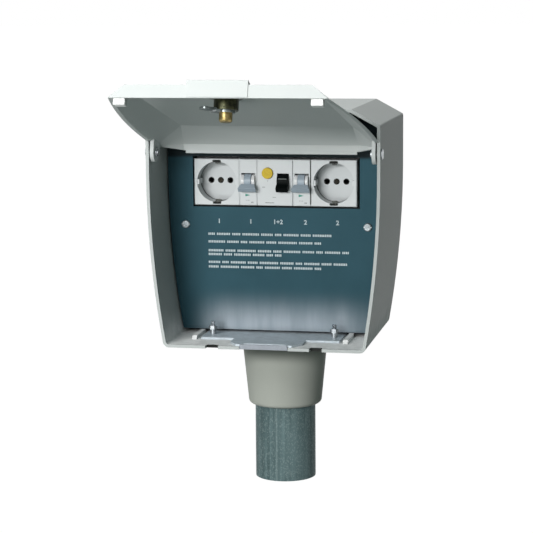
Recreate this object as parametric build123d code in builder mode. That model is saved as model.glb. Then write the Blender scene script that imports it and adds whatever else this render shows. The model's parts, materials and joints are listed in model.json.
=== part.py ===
"""Car heater outlet on a post: a housing with a lift-up lid, two socket outlets and their breakers.

Millimetres. The origin is the centre of the post tube at its lower end, +Z is up and the front
faces -Y. The lid is drawn shut and then swung open about its hinge, which is how it rests.
"""
import os
from math import atan, cos, hypot, radians, sin

from build123d import *

os.makedirs("parts", exist_ok=True)

# Post tube
POST_DIAMETER = 60.3
POST_WALL = 3.6
POST_STUB = 148  # lower end of the tube to the underside of the housing
POST_RISE = 42  # underside of the housing to the upper end of the tube

# Housing shell
WIDTH = 223
FOOT_WIDTH = 194
HEIGHT = 228
DEPTH = 162
WALL = 3
SIDE_RISE = 165  # height at which the bowed sides turn upright
SHOULDER_RUN = 27
SHOULDER_DROP = 14.7
FOOT_RADIUS = 6
SHOULDER_RADIUS = 2.5
BACK_RADIUS = 2
POST_TO_BACK = 55  # axis of the post to the back of the housing
POST_HOLE_GAP = 1

# Front edge of the floor
CABLE_NOTCH_WIDTH = 12.2
CABLE_NOTCH_DEPTH = 6
CABLE_NOTCH_X = 50
FLOOR_RIB_GAP = 4  # beside the base plate
FLOOR_RIB_WIDTH = 4.5
FLOOR_RIB_HEIGHT = 3.5
FLOOR_RIB_LENGTH = 38
FLOOR_RIB_SLOPE = 3

# Hinge
HINGE_SETBACK = 8  # behind the rim
HINGE_DROP = 41.7  # below the top of the housing
LID_ANGLE = 106  # from shut to open
PIN_DIAMETER = 5
PIN_HEAD_DIAMETER = 9.5
PIN_HEAD_HEIGHT = 1.6
PIN_FIT = 0.05
WASHER_DIAMETER = 9
WASHER_THICKNESS = 1
WASHER_PLAY = 0.3
PIN_END = 1

# Lid shell, drawn shut
LID_GAP = 0.6  # between the rims of the lid and the housing
LID_WALL = 2.2
LID_INSET = 1  # lid edge inside the housing's outline
LID_FOOT_DEPTH = 12
LID_FOOT_DROP = 11.5  # below the underside of the housing
RIM_FOOT_INSET = 3  # lid's rim at its lower corner in from the housing's foot
LID_FOOT_INSET = 16.3  # front panel's lower corner in from the housing's foot
BROW_DEPTH = 21.2  # fold between the front panel and the slanting panel
BROW_DROP = 35.2
BROW_INSET = 28.5
CREST_DEPTH = 7.6  # fold between the slanting panel and the top panel
CREST_DROP = 2.2  # below the top edge
CREST_INSET = 25.5
TOP_EDGE_INSET = 26.1
ROOF_GAP = 2.8  # between the lid's top edge and the roof of the housing
CORNER_DROP = 12.6  # below the shoulder, where the lid's side edge turns in
FULL_WIDTH_DROP = 11.8  # below the hinge: the lid above passes between the housing's sides
LIP_REACH = 2.2  # of the top panel under the roof
EAR_PLAY = 1.5
EAR_THICKNESS = 3.5
EAR_RADIUS = 9.5
EAR_TOP_GAP = 1.2  # below the corner of the lid's side edge

# Locating lugs on the lid
LUG_INSET = 12.3  # in from the housing's foot
LUG_WIDTH = 10.5
LUG_REACH = 5
LUG_ROOT = 7
LUG_CLEARANCE = 0.6  # below the underside of the housing

# Lock in the lid
LOCK_HEIGHT = 25
LOCK_CASE_DIAMETER = 21.5
LOCK_FLANGE_DIAMETER = 26.5
LOCK_FLANGE_HEIGHT = 2
LOCK_REACH = 16  # outer face of the lid to the back of the case
LOCK_NUT_ACROSS = 27.5
LOCK_NUT_HEIGHT = 3.3
LOCK_FIT = 0.1
BARREL_DIAMETER = 11
BARREL_FIT = 0.05
BARREL_SQUARE = 6
KEYWAY_WIDTH = 1.6
KEYWAY_LENGTH = 7
KEYWAY_DEPTH = 8
CAM_THICKNESS = 2
CAM_WIDTH = 10
CAM_LENGTH = 24.2
CAM_CRANK = 1
CAM_BEND = 11  # from the barrel's axis to the start of the crank
CAM_REST_ANGLE = 48  # turned aside from the locked position
CAM_HUB_DIAMETER = 16
CAM_FIT = 0.1
CAM_SCREW_DIAMETER = 11.6
CAM_SCREW_HEIGHT = 8
CAM_SCREW_EDGE = 2
CAM_SCREW_SHANK = 3
CAM_SCREW_LENGTH = 8
SLOT_WIDTH = 1.2  # of a screwdriver slot
SLOT_DEPTH = 1

# Guard moulded round the lock on the outside of the lid
GUARD_WIDTH = 53
GUARD_HEIGHT = 62
GUARD_PAD = 2  # thickness on the lid's face
GUARD_LIP = 4.5  # thickness at the lid's lower edge
GUARD_LIP_HEIGHT = 8
GUARD_END = 0.8
GUARD_RADIUS = 5
GUARD_EDGE = 1.5
GUARD_HOLE_DIAMETER = 30

# Base plate on the floor
PLATE_THICKNESS = 2
PLATE_HALF = 67.7
PLATE_FRONT = 31
PLATE_BACK_GAP = 9
TONGUE_HALF = 35
TONGUE_TIP_HALF = 27
TONGUE_FRONT = 2
TONGUE_SHOULDER = 14
FLANGE_HALF = 23
FLANGE_DROP = 4.6
STRIKE_SLOT_HALF = 20.5
STRIKE_SLOT_PLAY = 3.3  # behind the cam's tip
FLANGE_CLEARANCE = 0.4
BOLT_SIDE_EDGE = 7.7
BOLT_BEFORE_COVER = 17
BOLT_BACK_EDGE = 10
BOLT_DIAMETER = 4
BOLT_HEAD_DIAMETER = 11
BOLT_HEAD_HEIGHT = 3
BOLT_LENGTH = 18
BOLT_FIT = 0.3
SPACER_DIAMETER = 5.4
SPACER_HEIGHT = 4.8
NUT_ACROSS = 7
NUT_HEIGHT = 3.6

# Sleeve that clamps the box to the post
SLEEVE_WALL = 5
SLEEVE_FIT = 0.3
SLEEVE_HEIGHT = 36
SLEEVE_SCREW_DIAMETER = 8
SLEEVE_SCREW_ACROSS = 13
SLEEVE_SCREW_HEAD = 5
SLEEVE_SCREW_STANDOFF = 3
SLEEVE_SCREW_ANGLES = (90, -30, -150)

# Collar below the housing
COLLAR_TOP_DIAMETER = 87
COLLAR_LOW_DIAMETER = 72.5
COLLAR_HEIGHT = 73
COLLAR_EDGE = 4
COLLAR_WALL = 3
COLLAR_LIP = 8
COLLAR_FIT = 0.5

# Cover plate in front of the wiring
COVER_TO_POST = 41  # front of the plate to the axis of the post
COVER_THICKNESS = 1.5
COVER_GAP = 1.2
COVER_FOOT = 2  # above the base plate
CUTOUT_MARGIN = 2.2
COVER_SCREW_BESIDE = 10  # out from the end of the device row
COVER_SCREW_DROP = 42.3  # below the middle of the device row
COVER_SCREW_DIAMETER = 8
COVER_SCREW_HEAD = 2.4
COVER_SCREW_SHANK = 4
COVER_SCREW_LENGTH = 12
SCREW_FIT = 0.1
COVER_POST_DIAMETER = 10

# Device row on its rail
ROW_DROP = 75.2  # below the top of the housing
DEVICE_PROUD = 4  # faces of the devices before the cover plate
DEVICE_DEPTH = 60  # face to rail
NOSE_HEIGHT = 45
NOSE_DEPTH = 16
BODY_HEIGHT = 85
BODY_HOOK = 5  # behind the front of the rail
MODULE = 17.5
SOCKET_WIDTH = 45
DEVICE_GAP = 0.2
NOSE_EDGE = 0.6
RAIL_HEIGHT = 35
RAIL_CHANNEL = 27
RAIL_DEPTH = 7.5
RAIL_THICKNESS = 1
RAIL_OVERHANG = 7.5
RAIL_PLAY = 0.2
RAIL_HOOK = 1.4
RAIL_POST_X = 60
RAIL_POST_DIAMETER = 12
RAIL_SCREW_DIAMETER = 9
RAIL_SCREW_HEAD = 2.5
RAIL_SCREW_SHANK = 5
RAIL_SCREW_LENGTH = 14
STOP_WIDTH = 6
STOP_HEIGHT = 46
STOP_DEPTH = 9

# Socket outlets
RECESS_DIAMETER = 39.5
RECESS_DEPTH = 17.5
INSERT_THICKNESS = 3
INSERT_FIT = 0.1
PIN_HOLE_DIAMETER = 5.4
PIN_SPACING = 19
GUIDE_WIDTH = 5
GUIDE_REACH = 2
CLIP_WIDTH = 5
CLIP_THICKNESS = 1
CLIP_NOTCH = 1.8
CLIP_BULGE = 3.4
CLIP_SETBACK = 2.5
CONTACT_BORE = 4.9
CONTACT_WALL = 0.9
CONTACT_LENGTH = 15
CONTACT_FIT = 0.1
SOCKET_SCREW_DIAMETER = 4.6
SOCKET_SCREW_HEAD = 2.4
SOCKET_SCREW_SHANK = 2.6
SOCKET_SCREW_LENGTH = 14
SOCKET_SCREW_HOLE = 5.2

# Breakers, residual-current device and their levers
LEVER_HEIGHT = 1.2  # pivot above the centre of the row
LEVER_SETBACK = 2  # pivot behind the face
LEVER_DRUM_DIAMETER = 14
LEVER_DRUM_WIDTH = 6.5
LEVER_TIP = 12.5  # pivot to the tip of the handle
LEVER_THICKNESS = 5
LEVER_ANGLE = 40  # handle below straight out
LEVER_WIDTH = 15.6
LEVER_PLAY = 0.25
WINDOW_HEIGHT = 15.4
WINDOW_WIDTH = 13.6
WINDOW_DEPTH = 9.3
CHEEK_DIAMETER = 12.6
RCD_LEVER_X = 8
RCD_DRUM_WIDTH = 11
RCD_LEVER_WIDTH = 11.8
BUTTON_X = -7.2
BUTTON_RISE = 9.1
BUTTON_DIAMETER = 10.8
BUTTON_PROUD = 2.2
BUTTON_LENGTH = 9
BUTTON_TRAVEL = 1.5
BUTTON_PLAY = 0.1
BUTTON_EDGE = 0.5

# Clamp screws in the shoulders of the devices
CLAMP_OFFSET = 34
SOCKET_CLAMP_PITCH = 14
CLAMP_WELL_DIAMETER = 6.4
CLAMP_WELL_DEPTH = 7
CLAMP_SCREW_DIAMETER = 6
CLAMP_SCREW_HEIGHT = 3

# Terminals behind the cover plate
BLOCK_X = 30
BLOCK_BASE = 62
BLOCK_HEIGHT = 36
BLOCK_DEPTH = 38
BLOCK_END = 2
BLOCK_POLES = 5
POLE_PITCH = 10
POLE_WELL_DIAMETER = 5.4
POLE_WELL_DEPTH = 9
POLE_SCREW_DIAMETER = 5
POLE_SCREW_HEIGHT = 3
EARTH_BAR_X = -42
EARTH_BAR_BASE = 76
EARTH_BAR_SIZE = 9
EARTH_BAR_LENGTH = 46
EARTH_SCREWS = 4
EARTH_SCREW_PITCH = 10
EARTH_SCREW_DIAMETER = 6
EARTH_SCREW_HEIGHT = 3

# Places that follow from the sizes above
POST_RADIUS = POST_DIAMETER / 2
SETBACK = DEPTH - POST_TO_BACK  # front rim to the axis of the post
RIM_Y = -SETBACK
BASE_Z = POST_STUB
BACK_INNER = DEPTH - WALL
HINGE_HEIGHT = HEIGHT - HINGE_DROP
HINGE = Axis((0, RIM_Y + HINGE_SETBACK, BASE_Z + HINGE_HEIGHT), (1, 0, 0))
LID_FOOT_HALF = FOOT_WIDTH / 2 - LID_FOOT_INSET
BROW_HEIGHT = HEIGHT - BROW_DROP
BROW_HALF = WIDTH / 2 - BROW_INSET
TOP_EDGE_HEIGHT = HEIGHT - WALL - ROOF_GAP
TOP_EDGE_HALF = WIDTH / 2 - TOP_EDGE_INSET
CREST_HEIGHT = TOP_EDGE_HEIGHT - CREST_DROP
CREST_HALF = WIDTH / 2 - CREST_INSET
CORNER_HEIGHT = HEIGHT - SHOULDER_DROP - CORNER_DROP
FULL_WIDTH_TOP = HINGE_HEIGHT - FULL_WIDTH_DROP
EAR_OUTER = WIDTH / 2 - WALL - EAR_PLAY
EAR_INNER = EAR_OUTER - EAR_THICKNESS
LUG_X = FOOT_WIDTH / 2 - LUG_INSET
PLATE_TOP = WALL + PLATE_THICKNESS
PLATE_BACK = BACK_INNER - PLATE_BACK_GAP
COVER_SETBACK = SETBACK - COVER_TO_POST
DEVICE_SETBACK = COVER_SETBACK - DEVICE_PROUD
FLOOR_RIB_X = PLATE_HALF + FLOOR_RIB_GAP + FLOOR_RIB_WIDTH / 2
FLOOR_RIB_START = COVER_SETBACK - FLOOR_RIB_LENGTH
BOLT_X = PLATE_HALF - BOLT_SIDE_EDGE
BOLT_FRONT = COVER_SETBACK - BOLT_BEFORE_COVER
BOLT_BACK = PLATE_BACK - BOLT_BACK_EDGE
ROW_HEIGHT = HEIGHT - ROW_DROP
ROW_LENGTH = 2 * SOCKET_WIDTH + 4 * MODULE
SOCKET_X = (ROW_LENGTH - SOCKET_WIDTH) / 2
BREAKER_X = 1.5 * MODULE
RAIL_LENGTH = ROW_LENGTH + 2 * RAIL_OVERHANG
RAIL_SETBACK = DEVICE_SETBACK + DEVICE_DEPTH
COVER_BACK = COVER_SETBACK + COVER_THICKNESS
COVER_SCREW_X = ROW_LENGTH / 2 + COVER_SCREW_BESIDE
COVER_SCREW_HEIGHT = ROW_HEIGHT - COVER_SCREW_DROP
PIVOT = (DEVICE_SETBACK + LEVER_SETBACK, ROW_HEIGHT + LEVER_HEIGHT)
FACE_SLOPE = (BROW_DEPTH - LID_FOOT_DEPTH) / (BROW_HEIGHT + LID_FOOT_DROP)
FACE_TILT = atan(FACE_SLOPE)
LOCK_DEPTH = LID_FOOT_DEPTH + (LOCK_HEIGHT + LID_FOOT_DROP) * FACE_SLOPE
CAM_FRONT = LOCK_REACH - CAM_CRANK
CAM_TIP_SETBACK = (
    (CAM_FRONT + CAM_THICKNESS / 2) * cos(FACE_TILT) + CAM_LENGTH * sin(FACE_TILT) - LOCK_DEPTH
)
STRIKE_SLOT_DEPTH = CAM_TIP_SETBACK + STRIKE_SLOT_PLAY - TONGUE_FRONT


def facing(setback):
    """A plane parallel to the rim: x to the right, y up from the underside, normal to the front."""
    return Plane(origin=(0, RIM_Y + setback, BASE_Z), x_dir=(1, 0, 0), z_dir=(0, -1, 0))


def flank(x):
    """An upright plane across the box: x is the distance behind the rim, normal to the right."""
    return Plane(origin=(x, RIM_Y, BASE_Z), x_dir=(0, 1, 0), z_dir=(1, 0, 0))


def level(height):
    """A level plane: y is the distance behind the rim, normal upwards."""
    return Plane(origin=(0, RIM_Y, BASE_Z + height), x_dir=(1, 0, 0), z_dir=(0, 0, 1))


def lock_plane(distance):
    """A plane square to the lock, this far inside the shut lid's outer face, normal inwards."""
    inwards = (0, cos(FACE_TILT), sin(FACE_TILT))
    centre = (
        0,
        RIM_Y - LOCK_DEPTH + distance * inwards[1],
        BASE_Z + LOCK_HEIGHT + distance * inwards[2],
    )
    return Plane(origin=centre, x_dir=(1, 0, 0), z_dir=inwards)


def swung_open(piece):
    """The shut lid's piece, swung up about the hinge to where it rests."""
    return piece.rotate(HINGE, -LID_ANGLE)


def housing_outline(plane, inset=0):
    """The front view of the housing, drawn in on every side by the inset."""
    foot = (FOOT_WIDTH / 2, 0)
    side = (WIDTH / 2, SIDE_RISE)
    shoulder = (WIDTH / 2, HEIGHT - SHOULDER_DROP)
    crown = (WIDTH / 2 - SHOULDER_RUN, HEIGHT)
    with BuildSketch(plane) as outline:
        with BuildLine():
            Polyline((0, HEIGHT), (0, 0), foot)
            TangentArc(side, foot, tangent=(0, -1))
            Polyline(side, shoulder, crown, (0, HEIGHT))
        make_face()
        mirror(about=Plane.YZ)
        fillet(outline.vertices().sort_by(Axis.Y)[:2], FOOT_RADIUS)
        fillet(outline.vertices().sort_by(Axis.Y)[-4:], SHOULDER_RADIUS)
        if inset:
            offset(amount=-inset, mode=Mode.REPLACE)
    return outline.sketch


def through_sides(diameter):
    """A bore along the hinge through everything in the current part."""
    with BuildSketch(flank(-WIDTH)) as bore:
        with Locations((HINGE_SETBACK, HINGE_HEIGHT)):
            Circle(diameter / 2)
    extrude(bore.sketch, amount=2 * WIDTH, mode=Mode.SUBTRACT)


def driver_slot(plane, length, place=(0, 0)):
    """A screwdriver slot cut into a head, from its top face downwards."""
    with BuildSketch(plane) as slot:
        with Locations(place):
            Rectangle(length, SLOT_WIDTH)
    extrude(slot.sketch, amount=-SLOT_DEPTH, mode=Mode.SUBTRACT)


# Post tube and collar
with BuildPart() as post_tube:
    with BuildSketch(Plane.XY):
        Circle(POST_RADIUS)
        Circle(POST_RADIUS - POST_WALL, mode=Mode.SUBTRACT)
    extrude(amount=POST_STUB + POST_RISE)

with BuildPart() as collar:
    collar_bore = POST_RADIUS + COLLAR_FIT
    collar_top = COLLAR_TOP_DIAMETER / 2
    collar_low = COLLAR_LOW_DIAMETER / 2
    with BuildSketch(Plane.XZ) as collar_section:
        with BuildLine():
            Polyline(
                (collar_top, POST_STUB),
                (collar_low, POST_STUB - COLLAR_HEIGHT),
                (collar_bore, POST_STUB - COLLAR_HEIGHT),
                (collar_bore, POST_STUB - COLLAR_HEIGHT + COLLAR_LIP),
                (collar_low - COLLAR_WALL, POST_STUB - COLLAR_HEIGHT + COLLAR_LIP),
                (collar_top - COLLAR_WALL, POST_STUB),
                close=True,
            )
        make_face()
        low_corner = collar_section.vertices().group_by(Axis.Y)[0].sort_by(Axis.X)[-1]
        fillet(low_corner, COLLAR_EDGE)
    revolve(axis=Axis.Z)

# Housing
with BuildPart() as housing:
    extrude(housing_outline(facing(DEPTH)), amount=DEPTH)
    fillet(housing.faces().sort_by(Axis.Y)[-1].edges(), BACK_RADIUS)
    extrude(housing_outline(facing(BACK_INNER), WALL), amount=BACK_INNER, mode=Mode.SUBTRACT)
    through_sides(PIN_DIAMETER + 2 * PIN_FIT)
    strike_notch = TONGUE_FRONT + FLANGE_CLEARANCE
    with BuildSketch(level(0)):
        with Locations((0, SETBACK)):
            Circle(POST_RADIUS + POST_HOLE_GAP)
        with Locations((-CABLE_NOTCH_X, 0), (CABLE_NOTCH_X, 0)):
            Rectangle(CABLE_NOTCH_WIDTH, 2 * CABLE_NOTCH_DEPTH)
        Rectangle(2 * (FLANGE_HALF + FLANGE_CLEARANCE), 2 * strike_notch)
        with Locations((0, TONGUE_FRONT)):
            Rectangle(2 * STRIKE_SLOT_HALF, STRIKE_SLOT_DEPTH, align=(Align.CENTER, Align.MIN))
        with Locations((0, (BOLT_FRONT + BOLT_BACK) / 2)):
            with GridLocations(2 * BOLT_X, BOLT_BACK - BOLT_FRONT, 2, 2):
                Circle(BOLT_DIAMETER / 2 + BOLT_FIT)
    extrude(amount=WALL, mode=Mode.SUBTRACT)
    for rib_side in (-1, 1):
        with BuildSketch(flank(rib_side * FLOOR_RIB_X - FLOOR_RIB_WIDTH / 2)):
            with BuildLine():
                Polyline(
                    (FLOOR_RIB_START, WALL),
                    (FLOOR_RIB_START + FLOOR_RIB_LENGTH, WALL),
                    (FLOOR_RIB_START + FLOOR_RIB_LENGTH, WALL + FLOOR_RIB_HEIGHT),
                    (FLOOR_RIB_START + FLOOR_RIB_SLOPE, WALL + FLOOR_RIB_HEIGHT),
                    close=True,
                )
            make_face()
        extrude(amount=FLOOR_RIB_WIDTH)

# Hinge pins, headed outside the walls and held inside the ears by a washer
with BuildPart() as hinge_pins:
    with BuildSketch(flank(WIDTH / 2)):
        with Locations((HINGE_SETBACK, HINGE_HEIGHT)):
            Circle(PIN_HEAD_DIAMETER / 2)
    extrude(amount=PIN_HEAD_HEIGHT)
    fillet(hinge_pins.edges().sort_by(Axis.X)[-1], PIN_HEAD_HEIGHT / 2)
    washer_end = EAR_INNER - WASHER_PLAY - WASHER_THICKNESS
    with BuildSketch(flank(washer_end - PIN_END)):
        with Locations((HINGE_SETBACK, HINGE_HEIGHT)):
            Circle(PIN_DIAMETER / 2)
    extrude(amount=WIDTH / 2 - washer_end + PIN_END)
    mirror(about=Plane.YZ)

with BuildPart() as hinge_washers:
    with BuildSketch(flank(washer_end)):
        with Locations((HINGE_SETBACK, HINGE_HEIGHT)):
            Circle(WASHER_DIAMETER / 2)
            Circle(PIN_DIAMETER / 2 + PIN_FIT, mode=Mode.SUBTRACT)
    extrude(amount=WASHER_THICKNESS)
    mirror(about=Plane.YZ)


# Lid, drawn shut
def lid_folds(inset):
    """Distance before the rim and height of the lid's foot, brow, crest and top edge."""
    foot = Vector(LID_FOOT_DEPTH, -LID_FOOT_DROP)
    brow = Vector(BROW_DEPTH, BROW_HEIGHT)
    crest = Vector(CREST_DEPTH, CREST_HEIGHT)
    edge = Vector(LID_GAP, TOP_EDGE_HEIGHT)

    def inwards(low, high):
        along = (high - low).normalized()
        return Vector(-along.Y, along.X)

    front, slant, top = inwards(foot, brow), inwards(brow, crest), inwards(crest, edge)
    new_brow = brow + (front + slant) * (inset / (1 + front.dot(slant)))
    new_crest = crest + (slant + top) * (inset / (1 + slant.dot(top)))
    new_edge = edge - Vector(0, inset / abs(top.Y))
    upwards = (brow - foot).normalized()
    new_foot = new_brow - upwards * ((new_brow.Y - foot.Y - inset) / upwards.Y)
    return new_foot, new_brow, new_crest, new_edge


def side_insets(front_half, rim_half, front_depth, inset):
    """How far the lid's sloping side moves in at its front edge and at the rim."""
    run = rim_half - front_half
    rise = front_depth - LID_GAP
    slant = hypot(run, rise)
    return inset * (slant - run) / rise, inset * slant / rise


def lid_block(inset, mode):
    """The shut lid as a solid, each face but the rim moved in by the inset."""
    foot, brow, crest, edge = lid_folds(inset)
    rim_foot = FOOT_WIDTH / 2 - RIM_FOOT_INSET
    rim_side = WIDTH / 2 - LID_INSET
    foot_in, rim_foot_in = side_insets(LID_FOOT_HALF, rim_foot, LID_FOOT_DEPTH, inset)
    brow_in, rim_in = side_insets(BROW_HALF, rim_side, BROW_DEPTH, inset)
    rim_foot_half = rim_foot - rim_foot_in
    rim_half = rim_side - rim_in
    foot_half = LID_FOOT_HALF - foot_in
    brow_half = BROW_HALF - brow_in
    waist_share = (SIDE_RISE + LID_FOOT_DROP) / (CORNER_HEIGHT + LID_FOOT_DROP)
    waist = foot + (brow - foot) * waist_share
    waist_half = foot_half + (brow_half - foot_half) * waist_share
    with BuildSketch(facing(-LID_GAP)) as rim:
        with BuildLine():
            Line((-rim_foot_half, foot.Y), (rim_foot_half, foot.Y))
            TangentArc((rim_half, SIDE_RISE), (rim_foot_half, foot.Y), tangent=(0, -1))
            Line((rim_half, SIDE_RISE), (-rim_half, SIDE_RISE))
            TangentArc((-rim_half, SIDE_RISE), (-rim_foot_half, foot.Y), tangent=(0, -1))
        make_face()
    along = (brow - foot).normalized()
    front_plane = Plane(
        origin=(0, RIM_Y - foot.X, BASE_Z + foot.Y),
        x_dir=(1, 0, 0),
        z_dir=(0, -along.Y, -along.X),
    )
    with BuildSketch(front_plane) as front:
        with BuildLine():
            Polyline(
                (-foot_half, 0),
                (foot_half, 0),
                (waist_half, (waist - foot).length),
                (-waist_half, (waist - foot).length),
                close=True,
            )
        make_face()
    loft([rim.sketch, front.sketch], ruled=True, mode=mode)
    corners = [
        (rim_half, LID_GAP, SIDE_RISE),
        (rim_half, LID_GAP, CORNER_HEIGHT - inset / 2),
        (waist_half, waist.X, waist.Y),
        (brow_half, brow.X, brow.Y),
        (CREST_HALF - brow_in, crest.X, crest.Y),
        (TOP_EDGE_HALF - brow_in, edge.X, edge.Y),
    ]
    points = [
        (side * half, RIM_Y - depth, BASE_Z + height)
        for half, depth, height in corners
        for side in (-1, 1)
    ]
    ConvexPolyhedron(points, mode=mode)


with BuildPart() as lid:
    lid_block(0, Mode.ADD)
    lid_block(LID_WALL, Mode.SUBTRACT)
    lid_half = WIDTH / 2 - LID_INSET
    side_slope = (BROW_DEPTH - LID_GAP) / (lid_half - BROW_HALF)
    ear_front = LID_GAP + (lid_half - EAR_OUTER) * side_slope
    ear_foot = HINGE_HEIGHT - EAR_RADIUS
    ear_height = CORNER_HEIGHT - EAR_TOP_GAP - ear_foot
    strip = lid_half - EAR_OUTER
    with BuildSketch(level(FULL_WIDTH_TOP)):
        with Locations((EAR_OUTER + strip, -BROW_DEPTH / 2), (-EAR_OUTER - strip, -BROW_DEPTH / 2)):
            Rectangle(2 * strip, 2 * BROW_DEPTH)
    extrude(amount=HEIGHT, mode=Mode.SUBTRACT)
    for ear_start in (EAR_INNER, -EAR_OUTER):
        with BuildSketch(flank(ear_start)):
            with Locations((HINGE_SETBACK, HINGE_HEIGHT)):
                Circle(EAR_RADIUS)
            with Locations((-ear_front, ear_foot)):
                Rectangle(ear_front + HINGE_SETBACK, ear_height, align=(Align.MIN, Align.MIN))
        extrude(amount=EAR_THICKNESS)
    lip_height = TOP_EDGE_HEIGHT - LID_WALL
    with BuildSketch(flank(-TOP_EDGE_HALF + LID_WALL)):
        with Locations((-LID_GAP, lip_height)):
            Rectangle(LID_GAP + LIP_REACH, LID_WALL, align=(Align.MIN, Align.MIN))
    extrude(amount=2 * (TOP_EDGE_HALF - LID_WALL))
    through_sides(PIN_DIAMETER + 2 * PIN_FIT)
    with BuildSketch(lock_plane(-LID_WALL)):
        Circle(LOCK_CASE_DIAMETER / 2 + LOCK_FIT)
    extrude(amount=3 * LID_WALL, mode=Mode.SUBTRACT)

# Lugs inside the lid's lower edge, which close under the floor of the housing
with BuildPart() as lid_lugs:
    with BuildSketch(flank(LUG_X - LUG_WIDTH / 2)):
        with Locations((-LUG_ROOT, LID_WALL - LID_FOOT_DROP)):
            Rectangle(
                LUG_ROOT + LUG_REACH,
                LID_FOOT_DROP - LID_WALL - LUG_CLEARANCE,
                align=(Align.MIN, Align.MIN),
            )
    extrude(amount=LUG_WIDTH)
    side_run = FOOT_WIDTH / 2 - RIM_FOOT_INSET - LID_FOOT_HALF
    lug_taper = (LUG_ROOT - 2 * LID_GAP) * side_run / (LID_FOOT_DEPTH - LID_GAP)
    with BuildSketch(level(-LID_FOOT_DROP)):
        with BuildLine():
            Polyline(
                (LUG_X - LUG_WIDTH / 2, -LUG_ROOT),
                (LUG_X - LUG_WIDTH / 2, LUG_REACH),
                (LUG_X + LUG_WIDTH / 2, LUG_REACH),
                (LUG_X + LUG_WIDTH / 2, -2 * LID_GAP),
                (LUG_X + LUG_WIDTH / 2 - lug_taper, -LUG_ROOT),
                close=True,
            )
        make_face()
    extrude(amount=LID_FOOT_DROP, mode=Mode.INTERSECT)
    mirror(about=Plane.YZ)

# Guard round the lock, outside the lid, with a lip at the lid's lower edge
with BuildPart() as lock_guard:
    guard_top = GUARD_HEIGHT - LID_FOOT_DROP
    guard_depth = LID_FOOT_DEPTH + GUARD_HEIGHT * FACE_SLOPE
    lip_depth = LID_FOOT_DEPTH + GUARD_LIP_HEIGHT * FACE_SLOPE
    with BuildSketch(flank(-GUARD_WIDTH / 2)):
        with BuildLine():
            Polyline(
                (-LID_FOOT_DEPTH, -LID_FOOT_DROP),
                (-guard_depth, guard_top),
                (-guard_depth - GUARD_PAD, guard_top),
                (-lip_depth - GUARD_PAD, GUARD_LIP_HEIGHT - LID_FOOT_DROP),
                (-LID_FOOT_DEPTH - GUARD_LIP, -LID_FOOT_DROP - GUARD_END),
                (-2 * LID_GAP, -LID_FOOT_DROP - GUARD_END),
                (-2 * LID_GAP, -LID_FOOT_DROP),
                close=True,
            )
        make_face()
    extrude(amount=GUARD_WIDTH)
    fillet(lock_guard.edges().filter_by(Axis.Y).group_by(Axis.Z)[-1], GUARD_RADIUS)
    lip_edge = lock_guard.edges().filter_by(Axis.X).group_by(Axis.Z)[0].sort_by(Axis.Y)[0]
    fillet(lip_edge, GUARD_EDGE)
    with BuildSketch(lock_plane(-GUARD_LIP)):
        Circle(GUARD_HOLE_DIAMETER / 2)
    extrude(amount=2 * GUARD_LIP, mode=Mode.SUBTRACT)

# Cylinder lock
with BuildPart() as lock_case:
    with BuildSketch(lock_plane(0)):
        Circle(LOCK_CASE_DIAMETER / 2)
    extrude(amount=LOCK_REACH)
    with BuildSketch(lock_plane(0)):
        Circle(LOCK_FLANGE_DIAMETER / 2)
    extrude(amount=-LOCK_FLANGE_HEIGHT)
    with BuildSketch(lock_plane(-LOCK_FLANGE_HEIGHT)):
        Circle(BARREL_DIAMETER / 2 + BARREL_FIT)
    extrude(amount=LOCK_REACH + LOCK_FLANGE_HEIGHT, mode=Mode.SUBTRACT)

with BuildPart() as lock_nut:
    with BuildSketch(lock_plane(LID_WALL)):
        RegularPolygon(LOCK_NUT_ACROSS / 2, 6, major_radius=False)
        Circle(LOCK_CASE_DIAMETER / 2 + LOCK_FIT, mode=Mode.SUBTRACT)
    extrude(amount=LOCK_NUT_HEIGHT)

with BuildPart() as lock_barrel:
    with BuildSketch(lock_plane(-LOCK_FLANGE_HEIGHT)):
        Circle(BARREL_DIAMETER / 2)
    extrude(amount=LOCK_REACH + LOCK_FLANGE_HEIGHT)
    with BuildSketch(lock_plane(LOCK_REACH)):
        Rectangle(BARREL_SQUARE, BARREL_SQUARE, rotation=CAM_REST_ANGLE)
    extrude(amount=CAM_THICKNESS)
    with BuildSketch(lock_plane(-LOCK_FLANGE_HEIGHT)):
        Rectangle(KEYWAY_WIDTH, KEYWAY_LENGTH, rotation=CAM_REST_ANGLE)
    extrude(amount=KEYWAY_DEPTH, mode=Mode.SUBTRACT)
    with BuildSketch(lock_plane(LOCK_REACH + CAM_THICKNESS)):
        Circle(CAM_SCREW_SHANK / 2 + SCREW_FIT)
    extrude(amount=-CAM_SCREW_LENGTH - 2 * SCREW_FIT, mode=Mode.SUBTRACT)

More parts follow.
